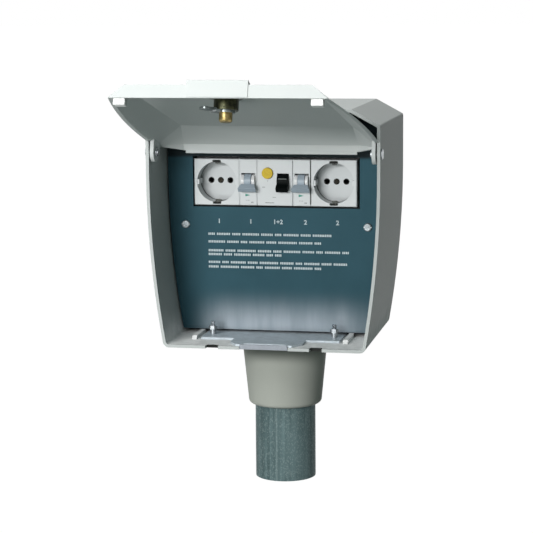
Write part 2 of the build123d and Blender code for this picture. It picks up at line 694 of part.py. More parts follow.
LOCK = lock_plane(0)
LOCK_AXIS = Axis(LOCK.origin, LOCK.z_dir)
with BuildPart() as lock_cam:
    turn = radians(CAM_REST_ANGLE)
    arm = LOCK.y_dir * cos(turn) - LOCK.x_dir * sin(turn)
    arm_plane = Plane(origin=LOCK.origin, x_dir=arm, z_dir=arm.cross(LOCK.z_dir))
    crank_end = CAM_BEND + CAM_CRANK
    with BuildSketch(arm_plane):
        with BuildLine():
            Polyline(
                (0, LOCK_REACH),
                (CAM_BEND, LOCK_REACH),
                (crank_end, CAM_FRONT),
                (CAM_LENGTH, CAM_FRONT),
                (CAM_LENGTH, CAM_FRONT + CAM_THICKNESS),
                (crank_end + CAM_THICKNESS / 2, CAM_FRONT + CAM_THICKNESS),
                (CAM_BEND + CAM_THICKNESS / 2, LOCK_REACH + CAM_THICKNESS),
                (0, LOCK_REACH + CAM_THICKNESS),
                close=True,
            )
        make_face()
    extrude(amount=CAM_WIDTH / 2, both=True)
    tip_corners = lock_cam.edges().filter_by(LOCK_AXIS)
    fillet(tip_corners.sort_by(Axis(LOCK.origin, arm))[-2:], CAM_WIDTH / 4)
    with BuildSketch(lock_plane(LOCK_REACH)):
        Circle(CAM_HUB_DIAMETER / 2)
    extrude(amount=CAM_THICKNESS)
    with BuildSketch(lock_plane(LOCK_REACH)):
        Rectangle(
            BARREL_SQUARE + 2 * CAM_FIT,
            BARREL_SQUARE + 2 * CAM_FIT,
            rotation=CAM_REST_ANGLE,
        )
    extrude(amount=CAM_THICKNESS, mode=Mode.SUBTRACT)

with BuildPart() as cam_screw:
    head_start = LOCK_REACH + CAM_THICKNESS
    with BuildSketch(lock_plane(head_start)):
        Circle(CAM_SCREW_DIAMETER / 2)
    extrude(amount=CAM_SCREW_HEIGHT)
    head_top = lock_plane(head_start + CAM_SCREW_HEIGHT)
    fillet(cam_screw.faces().sort_by(LOCK_AXIS)[-1].edges(), CAM_SCREW_EDGE)
    driver_slot(head_top, 2 * CAM_SCREW_DIAMETER)
    with BuildSketch(lock_plane(head_start)):
        Circle(CAM_SCREW_SHANK / 2)
    extrude(amount=-CAM_SCREW_LENGTH)

# Base plate, whose tongue is also the lock's strike
with BuildPart() as base_plate:
    with BuildSketch(level(WALL)):
        with BuildLine():
            Polyline(
                (0, TONGUE_FRONT),
                (TONGUE_TIP_HALF, TONGUE_FRONT),
                (TONGUE_HALF, TONGUE_SHOULDER),
                (TONGUE_HALF, PLATE_FRONT),
                (PLATE_HALF, PLATE_FRONT),
                (PLATE_HALF, PLATE_BACK),
                (0, PLATE_BACK),
                close=True,
            )
        make_face()
        mirror(about=Plane.YZ)
        with Locations((0, SETBACK)):
            Circle(POST_RADIUS + POST_HOLE_GAP, mode=Mode.SUBTRACT)
        with Locations((0, (BOLT_FRONT + BOLT_BACK) / 2)):
            with GridLocations(2 * BOLT_X, BOLT_BACK - BOLT_FRONT, 2, 2):
                Circle(BOLT_DIAMETER / 2 + BOLT_FIT, mode=Mode.SUBTRACT)
        with Locations((0, TONGUE_FRONT)):
            Rectangle(
                2 * STRIKE_SLOT_HALF,
                STRIKE_SLOT_DEPTH,
                align=(Align.CENTER, Align.MIN),
                mode=Mode.SUBTRACT,
            )
    extrude(amount=PLATE_THICKNESS)
    with BuildSketch(level(PLATE_TOP)):
        with Locations((0, TONGUE_FRONT - PLATE_THICKNESS / 2)):
            Rectangle(2 * FLANGE_HALF, PLATE_THICKNESS)
    extrude(amount=-FLANGE_DROP)

with BuildPart() as carriage_bolts:
    with BuildSketch(level(0)):
        with Locations((0, (BOLT_FRONT + BOLT_BACK) / 2)):
            with GridLocations(2 * BOLT_X, BOLT_BACK - BOLT_FRONT, 2, 2):
                Circle(BOLT_HEAD_DIAMETER / 2)
    extrude(amount=-BOLT_HEAD_HEIGHT)
    fillet(carriage_bolts.edges().group_by(Axis.Z)[0], BOLT_HEAD_HEIGHT - PLATE_THICKNESS / 2)
    with BuildSketch(level(0)):
        with Locations((0, (BOLT_FRONT + BOLT_BACK) / 2)):
            with GridLocations(2 * BOLT_X, BOLT_BACK - BOLT_FRONT, 2, 2):
                Circle(BOLT_DIAMETER / 2)
    extrude(amount=BOLT_LENGTH)

with BuildPart() as base_spacers:
    with BuildSketch(level(PLATE_TOP)):
        with Locations((0, (BOLT_FRONT + BOLT_BACK) / 2)):
            with GridLocations(2 * BOLT_X, BOLT_BACK - BOLT_FRONT, 2, 2):
                Circle(SPACER_DIAMETER / 2)
                Circle(BOLT_DIAMETER / 2 + SCREW_FIT, mode=Mode.SUBTRACT)
    extrude(amount=SPACER_HEIGHT)

with BuildPart() as base_nuts:
    with BuildSketch(level(PLATE_TOP + SPACER_HEIGHT)):
        with Locations((0, (BOLT_FRONT + BOLT_BACK) / 2)):
            with GridLocations(2 * BOLT_X, BOLT_BACK - BOLT_FRONT, 2, 2):
                RegularPolygon(NUT_ACROSS / 2, 6, major_radius=False)
                Circle(BOLT_DIAMETER / 2 + SCREW_FIT, mode=Mode.SUBTRACT)
    extrude(amount=NUT_HEIGHT)


# Sleeve on the base plate and its clamp screws
def sleeve_screw_plane(angle, distance):
    """A plane square to a clamp screw, this far out from the axis of the post."""
    outwards = (cos(radians(angle)), sin(radians(angle)), 0)
    height = BASE_Z + PLATE_TOP + SLEEVE_HEIGHT / 2
    centre = (distance * outwards[0], distance * outwards[1], height)
    return Plane(origin=centre, x_dir=(0, 0, 1), z_dir=outwards)


SLEEVE_BORE = POST_RADIUS + SLEEVE_FIT
SLEEVE_OUTER = SLEEVE_BORE + SLEEVE_WALL
with BuildPart() as post_sleeve:
    with BuildSketch(level(PLATE_TOP)):
        with Locations((0, SETBACK)):
            Circle(SLEEVE_OUTER)
            Circle(SLEEVE_BORE, mode=Mode.SUBTRACT)
    extrude(amount=SLEEVE_HEIGHT)
    for screw_angle in SLEEVE_SCREW_ANGLES:
        with BuildSketch(sleeve_screw_plane(screw_angle, POST_RADIUS)):
            Circle(SLEEVE_SCREW_DIAMETER / 2 + SCREW_FIT)
        extrude(amount=2 * SLEEVE_WALL, mode=Mode.SUBTRACT)

with BuildPart() as sleeve_screws:
    for screw_angle in SLEEVE_SCREW_ANGLES:
        with BuildSketch(sleeve_screw_plane(screw_angle, POST_RADIUS + SCREW_FIT)):
            Circle(SLEEVE_SCREW_DIAMETER / 2)
        extrude(amount=SLEEVE_OUTER + SLEEVE_SCREW_STANDOFF - POST_RADIUS - SCREW_FIT)
        with BuildSketch(sleeve_screw_plane(screw_angle, SLEEVE_OUTER + SLEEVE_SCREW_STANDOFF)):
            RegularPolygon(SLEEVE_SCREW_ACROSS / 2, 6, major_radius=False)
        extrude(amount=SLEEVE_SCREW_HEAD)

# Cover plate, its posts and its screws
COVER_SCREWS = [(-COVER_SCREW_X, COVER_SCREW_HEIGHT), (COVER_SCREW_X, COVER_SCREW_HEIGHT)]
with BuildPart() as cover_plate:
    extrude(housing_outline(facing(COVER_BACK), WALL + COVER_GAP), amount=COVER_THICKNESS)
    cover_foot = PLATE_TOP + COVER_FOOT
    with BuildSketch(facing(COVER_BACK)):
        Rectangle(WIDTH, cover_foot, align=(Align.CENTER, Align.MIN))
        with Locations((0, ROW_HEIGHT)):
            Rectangle(ROW_LENGTH + 2 * CUTOUT_MARGIN, NOSE_HEIGHT + 2 * CUTOUT_MARGIN)
        with Locations(*COVER_SCREWS):
            Circle(COVER_SCREW_SHANK / 2 + SCREW_FIT)
    extrude(amount=COVER_THICKNESS, mode=Mode.SUBTRACT)

with BuildPart() as cover_posts:
    with BuildSketch(facing(BACK_INNER)):
        with Locations(*COVER_SCREWS):
            Circle(COVER_POST_DIAMETER / 2)
    extrude(amount=BACK_INNER - COVER_BACK)
    with BuildSketch(facing(COVER_BACK)):
        with Locations(*COVER_SCREWS):
            Circle(COVER_SCREW_SHANK / 2 + SCREW_FIT)
    extrude(amount=-COVER_SCREW_LENGTH, mode=Mode.SUBTRACT)

with BuildPart() as cover_screws:
    with BuildSketch(facing(COVER_SETBACK)):
        with Locations(*COVER_SCREWS):
            Circle(COVER_SCREW_DIAMETER / 2)
    extrude(amount=COVER_SCREW_HEAD)
    fillet(cover_screws.edges().group_by(Axis.Y)[0], COVER_SCREW_HEAD / 2)
    for screw_place in COVER_SCREWS:
        driver_slot(facing(COVER_SETBACK - COVER_SCREW_HEAD), 2 * COVER_SCREW_DIAMETER, screw_place)
    with BuildSketch(facing(COVER_SETBACK)):
        with Locations(*COVER_SCREWS):
            Circle(COVER_SCREW_SHANK / 2)
    extrude(amount=SCREW_FIT - COVER_SCREW_LENGTH)

# Rail for the devices, on two posts
RAIL_FLOOR = RAIL_SETBACK + RAIL_DEPTH - RAIL_THICKNESS
RAIL_POSTS = [(-RAIL_POST_X, ROW_HEIGHT), (RAIL_POST_X, ROW_HEIGHT)]
with BuildPart() as din_rail:
    with BuildSketch(flank(-RAIL_LENGTH / 2)):
        with Locations((RAIL_SETBACK, ROW_HEIGHT)):
            Rectangle(RAIL_THICKNESS, RAIL_HEIGHT, align=(Align.MIN, Align.CENTER))
            Rectangle(RAIL_DEPTH, RAIL_CHANNEL, align=(Align.MIN, Align.CENTER))
            Rectangle(
                RAIL_DEPTH - RAIL_THICKNESS,
                RAIL_CHANNEL - 2 * RAIL_THICKNESS,
                align=(Align.MIN, Align.CENTER),
                mode=Mode.SUBTRACT,
            )
    extrude(amount=RAIL_LENGTH)
    with BuildSketch(facing(RAIL_SETBACK)):
        with Locations(*RAIL_POSTS):
            Circle(RAIL_SCREW_SHANK / 2 + SCREW_FIT)
    extrude(amount=-2 * RAIL_DEPTH, mode=Mode.SUBTRACT)

with BuildPart() as rail_posts:
    with BuildSketch(facing(BACK_INNER)):
        with Locations(*RAIL_POSTS):
            Circle(RAIL_POST_DIAMETER / 2)
    extrude(amount=BACK_INNER - RAIL_FLOOR - RAIL_THICKNESS)
    with BuildSketch(facing(RAIL_FLOOR)):
        with Locations(*RAIL_POSTS):
            Circle(RAIL_SCREW_SHANK / 2 + SCREW_FIT)
    extrude(amount=-RAIL_SCREW_LENGTH - SCREW_FIT, mode=Mode.SUBTRACT)

with BuildPart() as rail_screws:
    with BuildSketch(facing(RAIL_FLOOR)):
        with Locations(*RAIL_POSTS):
            Circle(RAIL_SCREW_DIAMETER / 2)
    extrude(amount=RAIL_SCREW_HEAD)
    for screw_place in RAIL_POSTS:
        driver_slot(facing(RAIL_FLOOR - RAIL_SCREW_HEAD), 2 * RAIL_SCREW_DIAMETER, screw_place)
    with BuildSketch(facing(RAIL_FLOOR)):
        with Locations(*RAIL_POSTS):
            Circle(RAIL_SCREW_SHANK / 2)
    extrude(amount=-RAIL_SCREW_LENGTH)


def rail_grip():
    """The notch in a device's side view that takes the rail and hooks behind its edges."""
    with Locations((RAIL_SETBACK, ROW_HEIGHT)):
        Rectangle(
            RAIL_THICKNESS + RAIL_PLAY,
            RAIL_HEIGHT + 2 * RAIL_PLAY,
            align=(Align.MIN, Align.CENTER),
            mode=Mode.SUBTRACT,
        )
        Rectangle(
            BODY_HOOK,
            RAIL_HEIGHT - 2 * RAIL_HOOK,
            align=(Align.MIN, Align.CENTER),
            mode=Mode.SUBTRACT,
        )


with BuildPart() as rail_stops:
    with BuildSketch(flank(ROW_LENGTH / 2)):
        with Locations((RAIL_SETBACK - STOP_DEPTH, ROW_HEIGHT)):
            Rectangle(STOP_DEPTH + BODY_HOOK, STOP_HEIGHT, align=(Align.MIN, Align.CENTER))
        rail_grip()
    extrude(amount=STOP_WIDTH)
    mirror(about=Plane.YZ)


def device_body(x, width):
    """A device's case: a low nose through the cover plate and a taller body on the rail."""
    with BuildSketch(flank(x - width / 2 + DEVICE_GAP / 2)) as side_view:
        with Locations((DEVICE_SETBACK, ROW_HEIGHT)):
            Rectangle(NOSE_DEPTH, NOSE_HEIGHT, align=(Align.MIN, Align.CENTER))
        with Locations((DEVICE_SETBACK + NOSE_DEPTH, ROW_HEIGHT)):
            Rectangle(
                DEVICE_DEPTH - NOSE_DEPTH + BODY_HOOK,
                BODY_HEIGHT,
                align=(Align.MIN, Align.CENTER),
            )
        rail_grip()
    case = extrude(side_view.sketch, amount=width - DEVICE_GAP)
    chamfer(case.faces().sort_by(Axis.Y)[0].edges(), NOSE_EDGE)


def clamp_places(x, offsets, sides=(-1, 1)):
    """Front-view places of a device's clamp screws."""
    return [(x + offset, ROW_HEIGHT + side * CLAMP_OFFSET) for offset in offsets for side in sides]


def clamp_wells(places):
    """Screw wells in a device's shoulders."""
    with BuildSketch(facing(DEVICE_SETBACK + NOSE_DEPTH)) as wells:
        with Locations(*places):
            Circle(CLAMP_WELL_DIAMETER / 2)
    extrude(wells.sketch, amount=-CLAMP_WELL_DEPTH, mode=Mode.SUBTRACT)


def lever_window(x, width):
    """The pocket in a device's nose in which a lever swings."""
    with BuildSketch(facing(DEVICE_SETBACK)) as window:
        with Locations((x, PIVOT[1])):
            Rectangle(width, WINDOW_HEIGHT)
    extrude(window.sketch, amount=-WINDOW_DEPTH, mode=Mode.SUBTRACT)


def lever_shape(x, drum_width, handle_width):
    """A switch lever at rest: a drum on its pivot and a handle that hangs down."""
    with BuildSketch(flank(x - drum_width / 2)) as drum:
        with Locations(PIVOT):
            Circle(LEVER_DRUM_DIAMETER / 2)
    extrude(drum.sketch, amount=drum_width)
    root = (LEVER_DRUM_DIAMETER / 2 + CHEEK_DIAMETER / 2) / 2
    with BuildSketch(flank(x - handle_width / 2)) as handle:
        with Locations(Location((PIVOT[0], PIVOT[1], 0), (0, 0, 180 + LEVER_ANGLE))):
            with Locations((root, 0)):
                Rectangle(LEVER_TIP - root, LEVER_THICKNESS, align=(Align.MIN, Align.CENTER))
    extrude(handle.sketch, amount=handle_width)


# Socket outlets
RECESS_FLOOR = DEVICE_SETBACK + RECESS_DEPTH
INSERT_BACK = RECESS_FLOOR + INSERT_THICKNESS
CLIP_SEAT = RECESS_DIAMETER / 2 + CLIP_NOTCH
SOCKET_CLAMPS = (-SOCKET_CLAMP_PITCH, 0, SOCKET_CLAMP_PITCH)
clamps = []
sockets = {}
for name, x in (("socket_a", -SOCKET_X), ("socket_b", SOCKET_X)):
    with BuildPart() as body:
        device_body(x, SOCKET_WIDTH)
        with BuildSketch(facing(DEVICE_SETBACK)):
            with Locations((x, ROW_HEIGHT)):
                Circle(RECESS_DIAMETER / 2)
        extrude(amount=-RECESS_DEPTH - INSERT_THICKNESS, mode=Mode.SUBTRACT)
        with BuildSketch(facing(DEVICE_SETBACK)):
            with Locations((x, ROW_HEIGHT)):
                Rectangle(CLIP_WIDTH + 4 * INSERT_FIT, 2 * CLIP_SEAT)
        extrude(amount=-RECESS_DEPTH, mode=Mode.SUBTRACT)
        with BuildSketch(facing(RECESS_FLOOR)):
            with Locations((x, ROW_HEIGHT)):
                Rectangle(RECESS_DIAMETER + GUIDE_REACH, GUIDE_WIDTH)
                Rectangle(RECESS_DIAMETER - 2 * GUIDE_REACH, GUIDE_WIDTH, mode=Mode.SUBTRACT)
        extrude(amount=RECESS_DEPTH - NOSE_EDGE)
        with BuildSketch(facing(INSERT_BACK)):
            contact_places = [(x - PIN_SPACING / 2, ROW_HEIGHT), (x + PIN_SPACING / 2, ROW_HEIGHT)]
            with Locations(*contact_places):
                Circle(CONTACT_BORE / 2 + CONTACT_WALL + CONTACT_FIT)
        extrude(amount=-CONTACT_LENGTH - CONTACT_FIT, mode=Mode.SUBTRACT)
        with BuildSketch(facing(INSERT_BACK)):
            with Locations((x, ROW_HEIGHT)):
                Circle(SOCKET_SCREW_SHANK / 2 + SCREW_FIT)
        extrude(amount=-SOCKET_SCREW_LENGTH, mode=Mode.SUBTRACT)
        clamps += clamp_places(x, SOCKET_CLAMPS, (-1,))
        clamp_wells(clamp_places(x, SOCKET_CLAMPS, (-1,)))
    with BuildPart() as insert:
        with BuildSketch(facing(INSERT_BACK)):
            with Locations((x, ROW_HEIGHT)):
                Circle(RECESS_DIAMETER / 2 - INSERT_FIT)
                Circle(SOCKET_SCREW_SHANK / 2 + SCREW_FIT, mode=Mode.SUBTRACT)
            with Locations(*contact_places):
                Circle(PIN_HOLE_DIAMETER / 2, mode=Mode.SUBTRACT)
        extrude(amount=INSERT_THICKNESS)
        with BuildSketch(facing(RECESS_FLOOR)):
            with Locations((x, ROW_HEIGHT)):
                Circle(SOCKET_SCREW_HOLE / 2)
        extrude(amount=-SOCKET_SCREW_HEAD, mode=Mode.SUBTRACT)
    with BuildPart() as contacts:
        with BuildSketch(facing(INSERT_BACK)):
            with Locations(*contact_places):
                Circle(CONTACT_BORE / 2 + CONTACT_WALL)
                Circle(CONTACT_BORE / 2, mode=Mode.SUBTRACT)
        extrude(amount=-CONTACT_LENGTH)
    with BuildPart() as clips:
        seat = CLIP_SEAT - INSERT_FIT - CLIP_THICKNESS / 2
        with BuildSketch(flank(x - CLIP_WIDTH / 2)):
            with BuildLine():
                FilletPolyline(
                    (RECESS_FLOOR - INSERT_FIT, ROW_HEIGHT + seat),
                    (DEVICE_SETBACK + CLIP_SETBACK, ROW_HEIGHT + seat),
                    (DEVICE_SETBACK + 2 * CLIP_SETBACK, ROW_HEIGHT + seat - CLIP_BULGE),
                    (RECESS_FLOOR - 2 * CLIP_SETBACK, ROW_HEIGHT + seat - CLIP_BULGE / 2),
                    radius=CLIP_THICKNESS,
                )
            trace(line_width=CLIP_THICKNESS)
        extrude(amount=CLIP_WIDTH)
        mirror(about=Plane.XY.offset(BASE_Z + ROW_HEIGHT))
    sockets[name] = {"body": body, "insert": insert, "contacts": contacts, "earth_clips": clips}

with BuildPart() as socket_screws:
    for x in (-SOCKET_X, SOCKET_X):
        with BuildSketch(facing(RECESS_FLOOR + SOCKET_SCREW_HEAD)):
            with Locations((x, ROW_HEIGHT)):
                Circle(SOCKET_SCREW_DIAMETER / 2)
        extrude(amount=SOCKET_SCREW_HEAD)
        driver_slot(facing(RECESS_FLOOR), 2 * SOCKET_SCREW_DIAMETER, (x, ROW_HEIGHT))
        with BuildSketch(facing(RECESS_FLOOR + SOCKET_SCREW_HEAD)):
            with Locations((x, ROW_HEIGHT)):
                Circle(SOCKET_SCREW_SHANK / 2)
        extrude(amount=-SOCKET_SCREW_LENGTH + SOCKET_SCREW_HEAD)

# Breakers
breakers = {}
for name, x in (("breaker_a", -BREAKER_X), ("breaker_b", BREAKER_X)):
    with BuildPart() as body:
        device_body(x, MODULE)
        lever_window(x, WINDOW_WIDTH)
        clamps += clamp_places(x, (0,))
        clamp_wells(clamp_places(x, (0,)))
    with BuildPart() as lever:
        lever_shape(x, LEVER_DRUM_WIDTH, LEVER_WIDTH)
    with BuildPart() as cheeks:
        cheek_start = LEVER_DRUM_WIDTH / 2 + LEVER_PLAY
        cheek_end = WINDOW_WIDTH / 2 - INSERT_FIT
        for start in (cheek_start, -cheek_end):
            with BuildSketch(flank(x + start)):
                with Locations(PIVOT):
                    Circle(CHEEK_DIAMETER / 2)
            extrude(amount=cheek_end - cheek_start)
    breakers[name] = {"body": body, "lever": lever, "cheeks": cheeks}

# Residual-current device
with BuildPart() as rcd_body:
    device_body(0, 2 * MODULE)
    lever_window(RCD_LEVER_X, RCD_DRUM_WIDTH + 2 * LEVER_PLAY)
    with BuildSketch(facing(DEVICE_SETBACK)):
        with Locations((BUTTON_X, ROW_HEIGHT + BUTTON_RISE)):
            Circle(BUTTON_DIAMETER / 2 + BUTTON_PLAY)
    extrude(amount=-BUTTON_LENGTH, mode=Mode.SUBTRACT)
    clamps += clamp_places(0, (-MODULE / 2, MODULE / 2))
    clamp_wells(clamp_places(0, (-MODULE / 2, MODULE / 2)))

with BuildPart() as rcd_lever:
    lever_shape(RCD_LEVER_X, RCD_DRUM_WIDTH, RCD_LEVER_WIDTH)

with BuildPart() as rcd_test_button:
    button_end = BUTTON_LENGTH - BUTTON_TRAVEL - BUTTON_PLAY
    with BuildSketch(facing(DEVICE_SETBACK + button_end)):
        with Locations((BUTTON_X, ROW_HEIGHT + BUTTON_RISE)):
            Circle(BUTTON_DIAMETER / 2)
    extrude(amount=button_end + BUTTON_PROUD)
    fillet(rcd_test_button.edges().group_by(Axis.Y)[0], BUTTON_EDGE)

with BuildPart() as device_clamp_screws:
    well_floor = DEVICE_SETBACK + NOSE_DEPTH + CLAMP_WELL_DEPTH
    with BuildSketch(facing(well_floor)):
        with Locations(*clamps):
            Circle(CLAMP_SCREW_DIAMETER / 2)
    extrude(amount=CLAMP_SCREW_HEIGHT)
    for place in clamps:
        driver_slot(facing(well_floor - CLAMP_SCREW_HEIGHT), CLAMP_WELL_DIAMETER, place)

# Terminals in the wiring space
BLOCK_FRONT = BACK_INNER - BLOCK_DEPTH
BLOCK_CENTRE = (BLOCK_X, BLOCK_BASE + BLOCK_HEIGHT / 2)
with BuildPart() as terminal_block:
    with BuildSketch(facing(BACK_INNER)):
        with Locations(BLOCK_CENTRE):
            Rectangle(POLE_PITCH * BLOCK_POLES + 2 * BLOCK_END, BLOCK_HEIGHT)
    extrude(amount=BLOCK_DEPTH)
    with BuildSketch(facing(BLOCK_FRONT)):
        with Locations(BLOCK_CENTRE):
            with GridLocations(POLE_PITCH, BLOCK_HEIGHT / 2, BLOCK_POLES, 2):
                Circle(POLE_WELL_DIAMETER / 2)
    extrude(amount=-POLE_WELL_DEPTH, mode=Mode.SUBTRACT)

with BuildPart() as terminal_screws:
    well_floor = BLOCK_FRONT + POLE_WELL_DEPTH
    first_pole = BLOCK_CENTRE[0] - POLE_PITCH * (BLOCK_POLES - 1) / 2
    for pole in range(BLOCK_POLES):
        for side in (-1, 1):
            pole_place = (first_pole + pole * POLE_PITCH, BLOCK_CENTRE[1] + side * BLOCK_HEIGHT / 4)
            with BuildSketch(facing(well_floor)):
                with Locations(pole_place):
                    Circle(POLE_SCREW_DIAMETER / 2)
            extrude(amount=POLE_SCREW_HEIGHT)
            driver_slot(facing(well_floor - POLE_SCREW_HEIGHT), POLE_WELL_DIAMETER, pole_place)

with BuildPart() as earth_bar:
    bar_centre = (EARTH_BAR_X, EARTH_BAR_BASE + EARTH_BAR_SIZE / 2)
    with BuildSketch(facing(BACK_INNER)):
        with Locations(bar_centre):
            Rectangle(EARTH_BAR_LENGTH, EARTH_BAR_SIZE)
    extrude(amount=EARTH_BAR_SIZE)

with BuildPart() as earth_screws:
    bar_front = BACK_INNER - EARTH_BAR_SIZE
    first_screw = EARTH_BAR_X - EARTH_SCREW_PITCH * (EARTH_SCREWS - 1) / 2
    for screw in range(EARTH_SCREWS):
        screw_place = (first_screw + screw * EARTH_SCREW_PITCH, bar_centre[1])
        with BuildSketch(facing(bar_front)):
            with Locations(screw_place):
                Circle(EARTH_SCREW_DIAMETER / 2)
        extrude(amount=EARTH_SCREW_HEIGHT)
        driver_slot(facing(bar_front - EARTH_SCREW_HEIGHT), 2 * EARTH_SCREW_DIAMETER, screw_place)

# Everything on the lid is swung open to where it rests
for shut in (lid, lid_lugs, lock_guard, lock_case, lock_nut, lock_barrel, lock_cam, cam_screw):
    shut.part = swung_open(shut.part)

# One file for each piece
post_tube.part.label = "post_tube"
export_step(post_tube.part, "parts/post_tube.step")
collar.part.label = "collar"
export_step(collar.part, "parts/collar.step")
housing.part.label = "housing"
export_step(housing.part, "parts/housing.step")
hinge_pins.part.label = "hinge_pins"
export_step(hinge_pins.part, "parts/hinge_pins.step")
hinge_washers.part.label = "hinge_washers"
export_step(hinge_washers.part, "parts/hinge_washers.step")
lid.part.label = "lid"
export_step(lid.part, "parts/lid.step")
lid_lugs.part.label = "lid_lugs"
export_step(lid_lugs.part, "parts/lid_lugs.step")
lock_guard.part.label = "lock_guard"
export_step(lock_guard.part, "parts/lock_guard.step")
lock_case.part.label = "lock_case"
export_step(lock_case.part, "parts/lock_case.step")
lock_nut.part.label = "lock_nut"
export_step(lock_nut.part, "parts/lock_nut.step")
lock_barrel.part.label = "lock_barrel"
export_step(lock_barrel.part, "parts/lock_barrel.step")
lock_cam.part.label = "lock_cam"
export_step(lock_cam.part, "parts/lock_cam.step")
cam_screw.part.label = "cam_screw"
export_step(cam_screw.part, "parts/cam_screw.step")
base_plate.part.label = "base_plate"
export_step(base_plate.part, "parts/base_plate.step")
carriage_bolts.part.label = "carriage_bolts"
export_step(carriage_bolts.part, "parts/carriage_bolts.step")
base_spacers.part.label = "base_spacers"
export_step(base_spacers.part, "parts/base_spacers.step")
base_nuts.part.label = "base_nuts"
export_step(base_nuts.part, "parts/base_nuts.step")
post_sleeve.part.label = "post_sleeve"
export_step(post_sleeve.part, "parts/post_sleeve.step")
sleeve_screws.part.label = "sleeve_screws"
export_step(sleeve_screws.part, "parts/sleeve_screws.step")
cover_plate.part.label = "cover_plate"
export_step(cover_plate.part, "parts/cover_plate.step")
cover_posts.part.label = "cover_posts"
export_step(cover_posts.part, "parts/cover_posts.step")
cover_screws.part.label = "cover_screws"
export_step(cover_screws.part, "parts/cover_screws.step")
din_rail.part.label = "din_rail"
export_step(din_rail.part, "parts/din_rail.step")
rail_posts.part.label = "rail_posts"
export_step(rail_posts.part, "parts/rail_posts.step")
rail_screws.part.label = "rail_screws"
export_step(rail_screws.part, "parts/rail_screws.step")
rail_stops.part.label = "rail_stops"
export_step(rail_stops.part, "parts/rail_stops.step")
socket_screws.part.label = "socket_screws"
export_step(socket_screws.part, "parts/socket_screws.step")
rcd_body.part.label = "rcd_body"
export_step(rcd_body.part, "parts/rcd_body.step")
rcd_lever.part.label = "rcd_lever"
export_step(rcd_lever.part, "parts/rcd_lever.step")
rcd_test_button.part.label = "rcd_test_button"
export_step(rcd_test_button.part, "parts/rcd_test_button.step")
device_clamp_screws.part.label = "device_clamp_screws"
export_step(device_clamp_screws.part, "parts/device_clamp_screws.step")
terminal_block.part.label = "terminal_block"
export_step(terminal_block.part, "parts/terminal_block.step")
terminal_screws.part.label = "terminal_screws"
export_step(terminal_screws.part, "parts/terminal_screws.step")
earth_bar.part.label = "earth_bar"
export_step(earth_bar.part, "parts/earth_bar.step")
earth_screws.part.label = "earth_screws"
export_step(earth_screws.part, "parts/earth_screws.step")
for devices in (sockets, breakers):
    for device, pieces in devices.items():
        for piece_name, piece in pieces.items():
            piece.part.label = f"{device}_{piece_name}"
            export_step(piece.part, f"parts/{device}_{piece_name}.step")
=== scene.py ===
import json
from math import cos, pi, radians, sin

import bpy
from mathutils import Matrix, Vector

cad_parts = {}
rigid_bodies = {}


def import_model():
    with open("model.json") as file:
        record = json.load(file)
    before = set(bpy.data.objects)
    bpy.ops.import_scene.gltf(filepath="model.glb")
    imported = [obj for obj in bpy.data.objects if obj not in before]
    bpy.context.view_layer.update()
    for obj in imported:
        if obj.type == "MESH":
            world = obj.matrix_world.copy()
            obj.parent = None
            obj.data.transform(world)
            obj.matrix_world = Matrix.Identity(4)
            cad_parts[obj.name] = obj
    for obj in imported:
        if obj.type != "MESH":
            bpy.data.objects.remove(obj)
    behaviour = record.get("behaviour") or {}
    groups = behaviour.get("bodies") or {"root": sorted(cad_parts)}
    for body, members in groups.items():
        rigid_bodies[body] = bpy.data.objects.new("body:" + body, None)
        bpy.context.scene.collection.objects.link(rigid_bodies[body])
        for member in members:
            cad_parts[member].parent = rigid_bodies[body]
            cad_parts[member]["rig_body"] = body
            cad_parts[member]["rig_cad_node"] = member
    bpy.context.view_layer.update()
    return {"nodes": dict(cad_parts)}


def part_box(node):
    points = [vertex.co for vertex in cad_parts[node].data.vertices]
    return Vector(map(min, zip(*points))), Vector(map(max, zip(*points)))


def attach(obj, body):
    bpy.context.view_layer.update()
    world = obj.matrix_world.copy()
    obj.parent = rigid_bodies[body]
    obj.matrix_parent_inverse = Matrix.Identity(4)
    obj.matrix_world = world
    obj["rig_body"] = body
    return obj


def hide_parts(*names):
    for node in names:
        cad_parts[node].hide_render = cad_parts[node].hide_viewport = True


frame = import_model()
nodes = frame["nodes"]
bpy.context.scene.view_settings.view_transform = "Standard"

# Camera
# It stands 1.8 m in front of the box, a little to the right and above it, where the photograph
# was taken from: found from the standard sizes of the devices and the edges of the housing.
CAMERA_PLACE = Vector((0.3540, -1.7881, 0.4904))
CAMERA_YAW = 0.2053
CAMERA_PITCH = 0.1514
CAMERA_ROLL = -0.0085
CAMERA_LENS = 125.07

camera = bpy.data.objects.new("camera", bpy.data.cameras.new("camera"))
bpy.context.scene.collection.objects.link(camera)
bpy.context.scene.camera = camera
camera.data.lens = CAMERA_LENS
ahead = Vector((
    -sin(CAMERA_YAW) * cos(CAMERA_PITCH),
    cos(CAMERA_YAW) * cos(CAMERA_PITCH),
    -sin(CAMERA_PITCH),
))
level_right = Vector((cos(CAMERA_YAW), sin(CAMERA_YAW), 0))
right = Matrix.Rotation(CAMERA_ROLL, 3, -ahead) @ level_right
up = right.cross(ahead)
facing_box = Matrix((right, up, -ahead)).transposed().to_4x4()
camera.matrix_world = Matrix.Translation(CAMERA_PLACE) @ facing_box


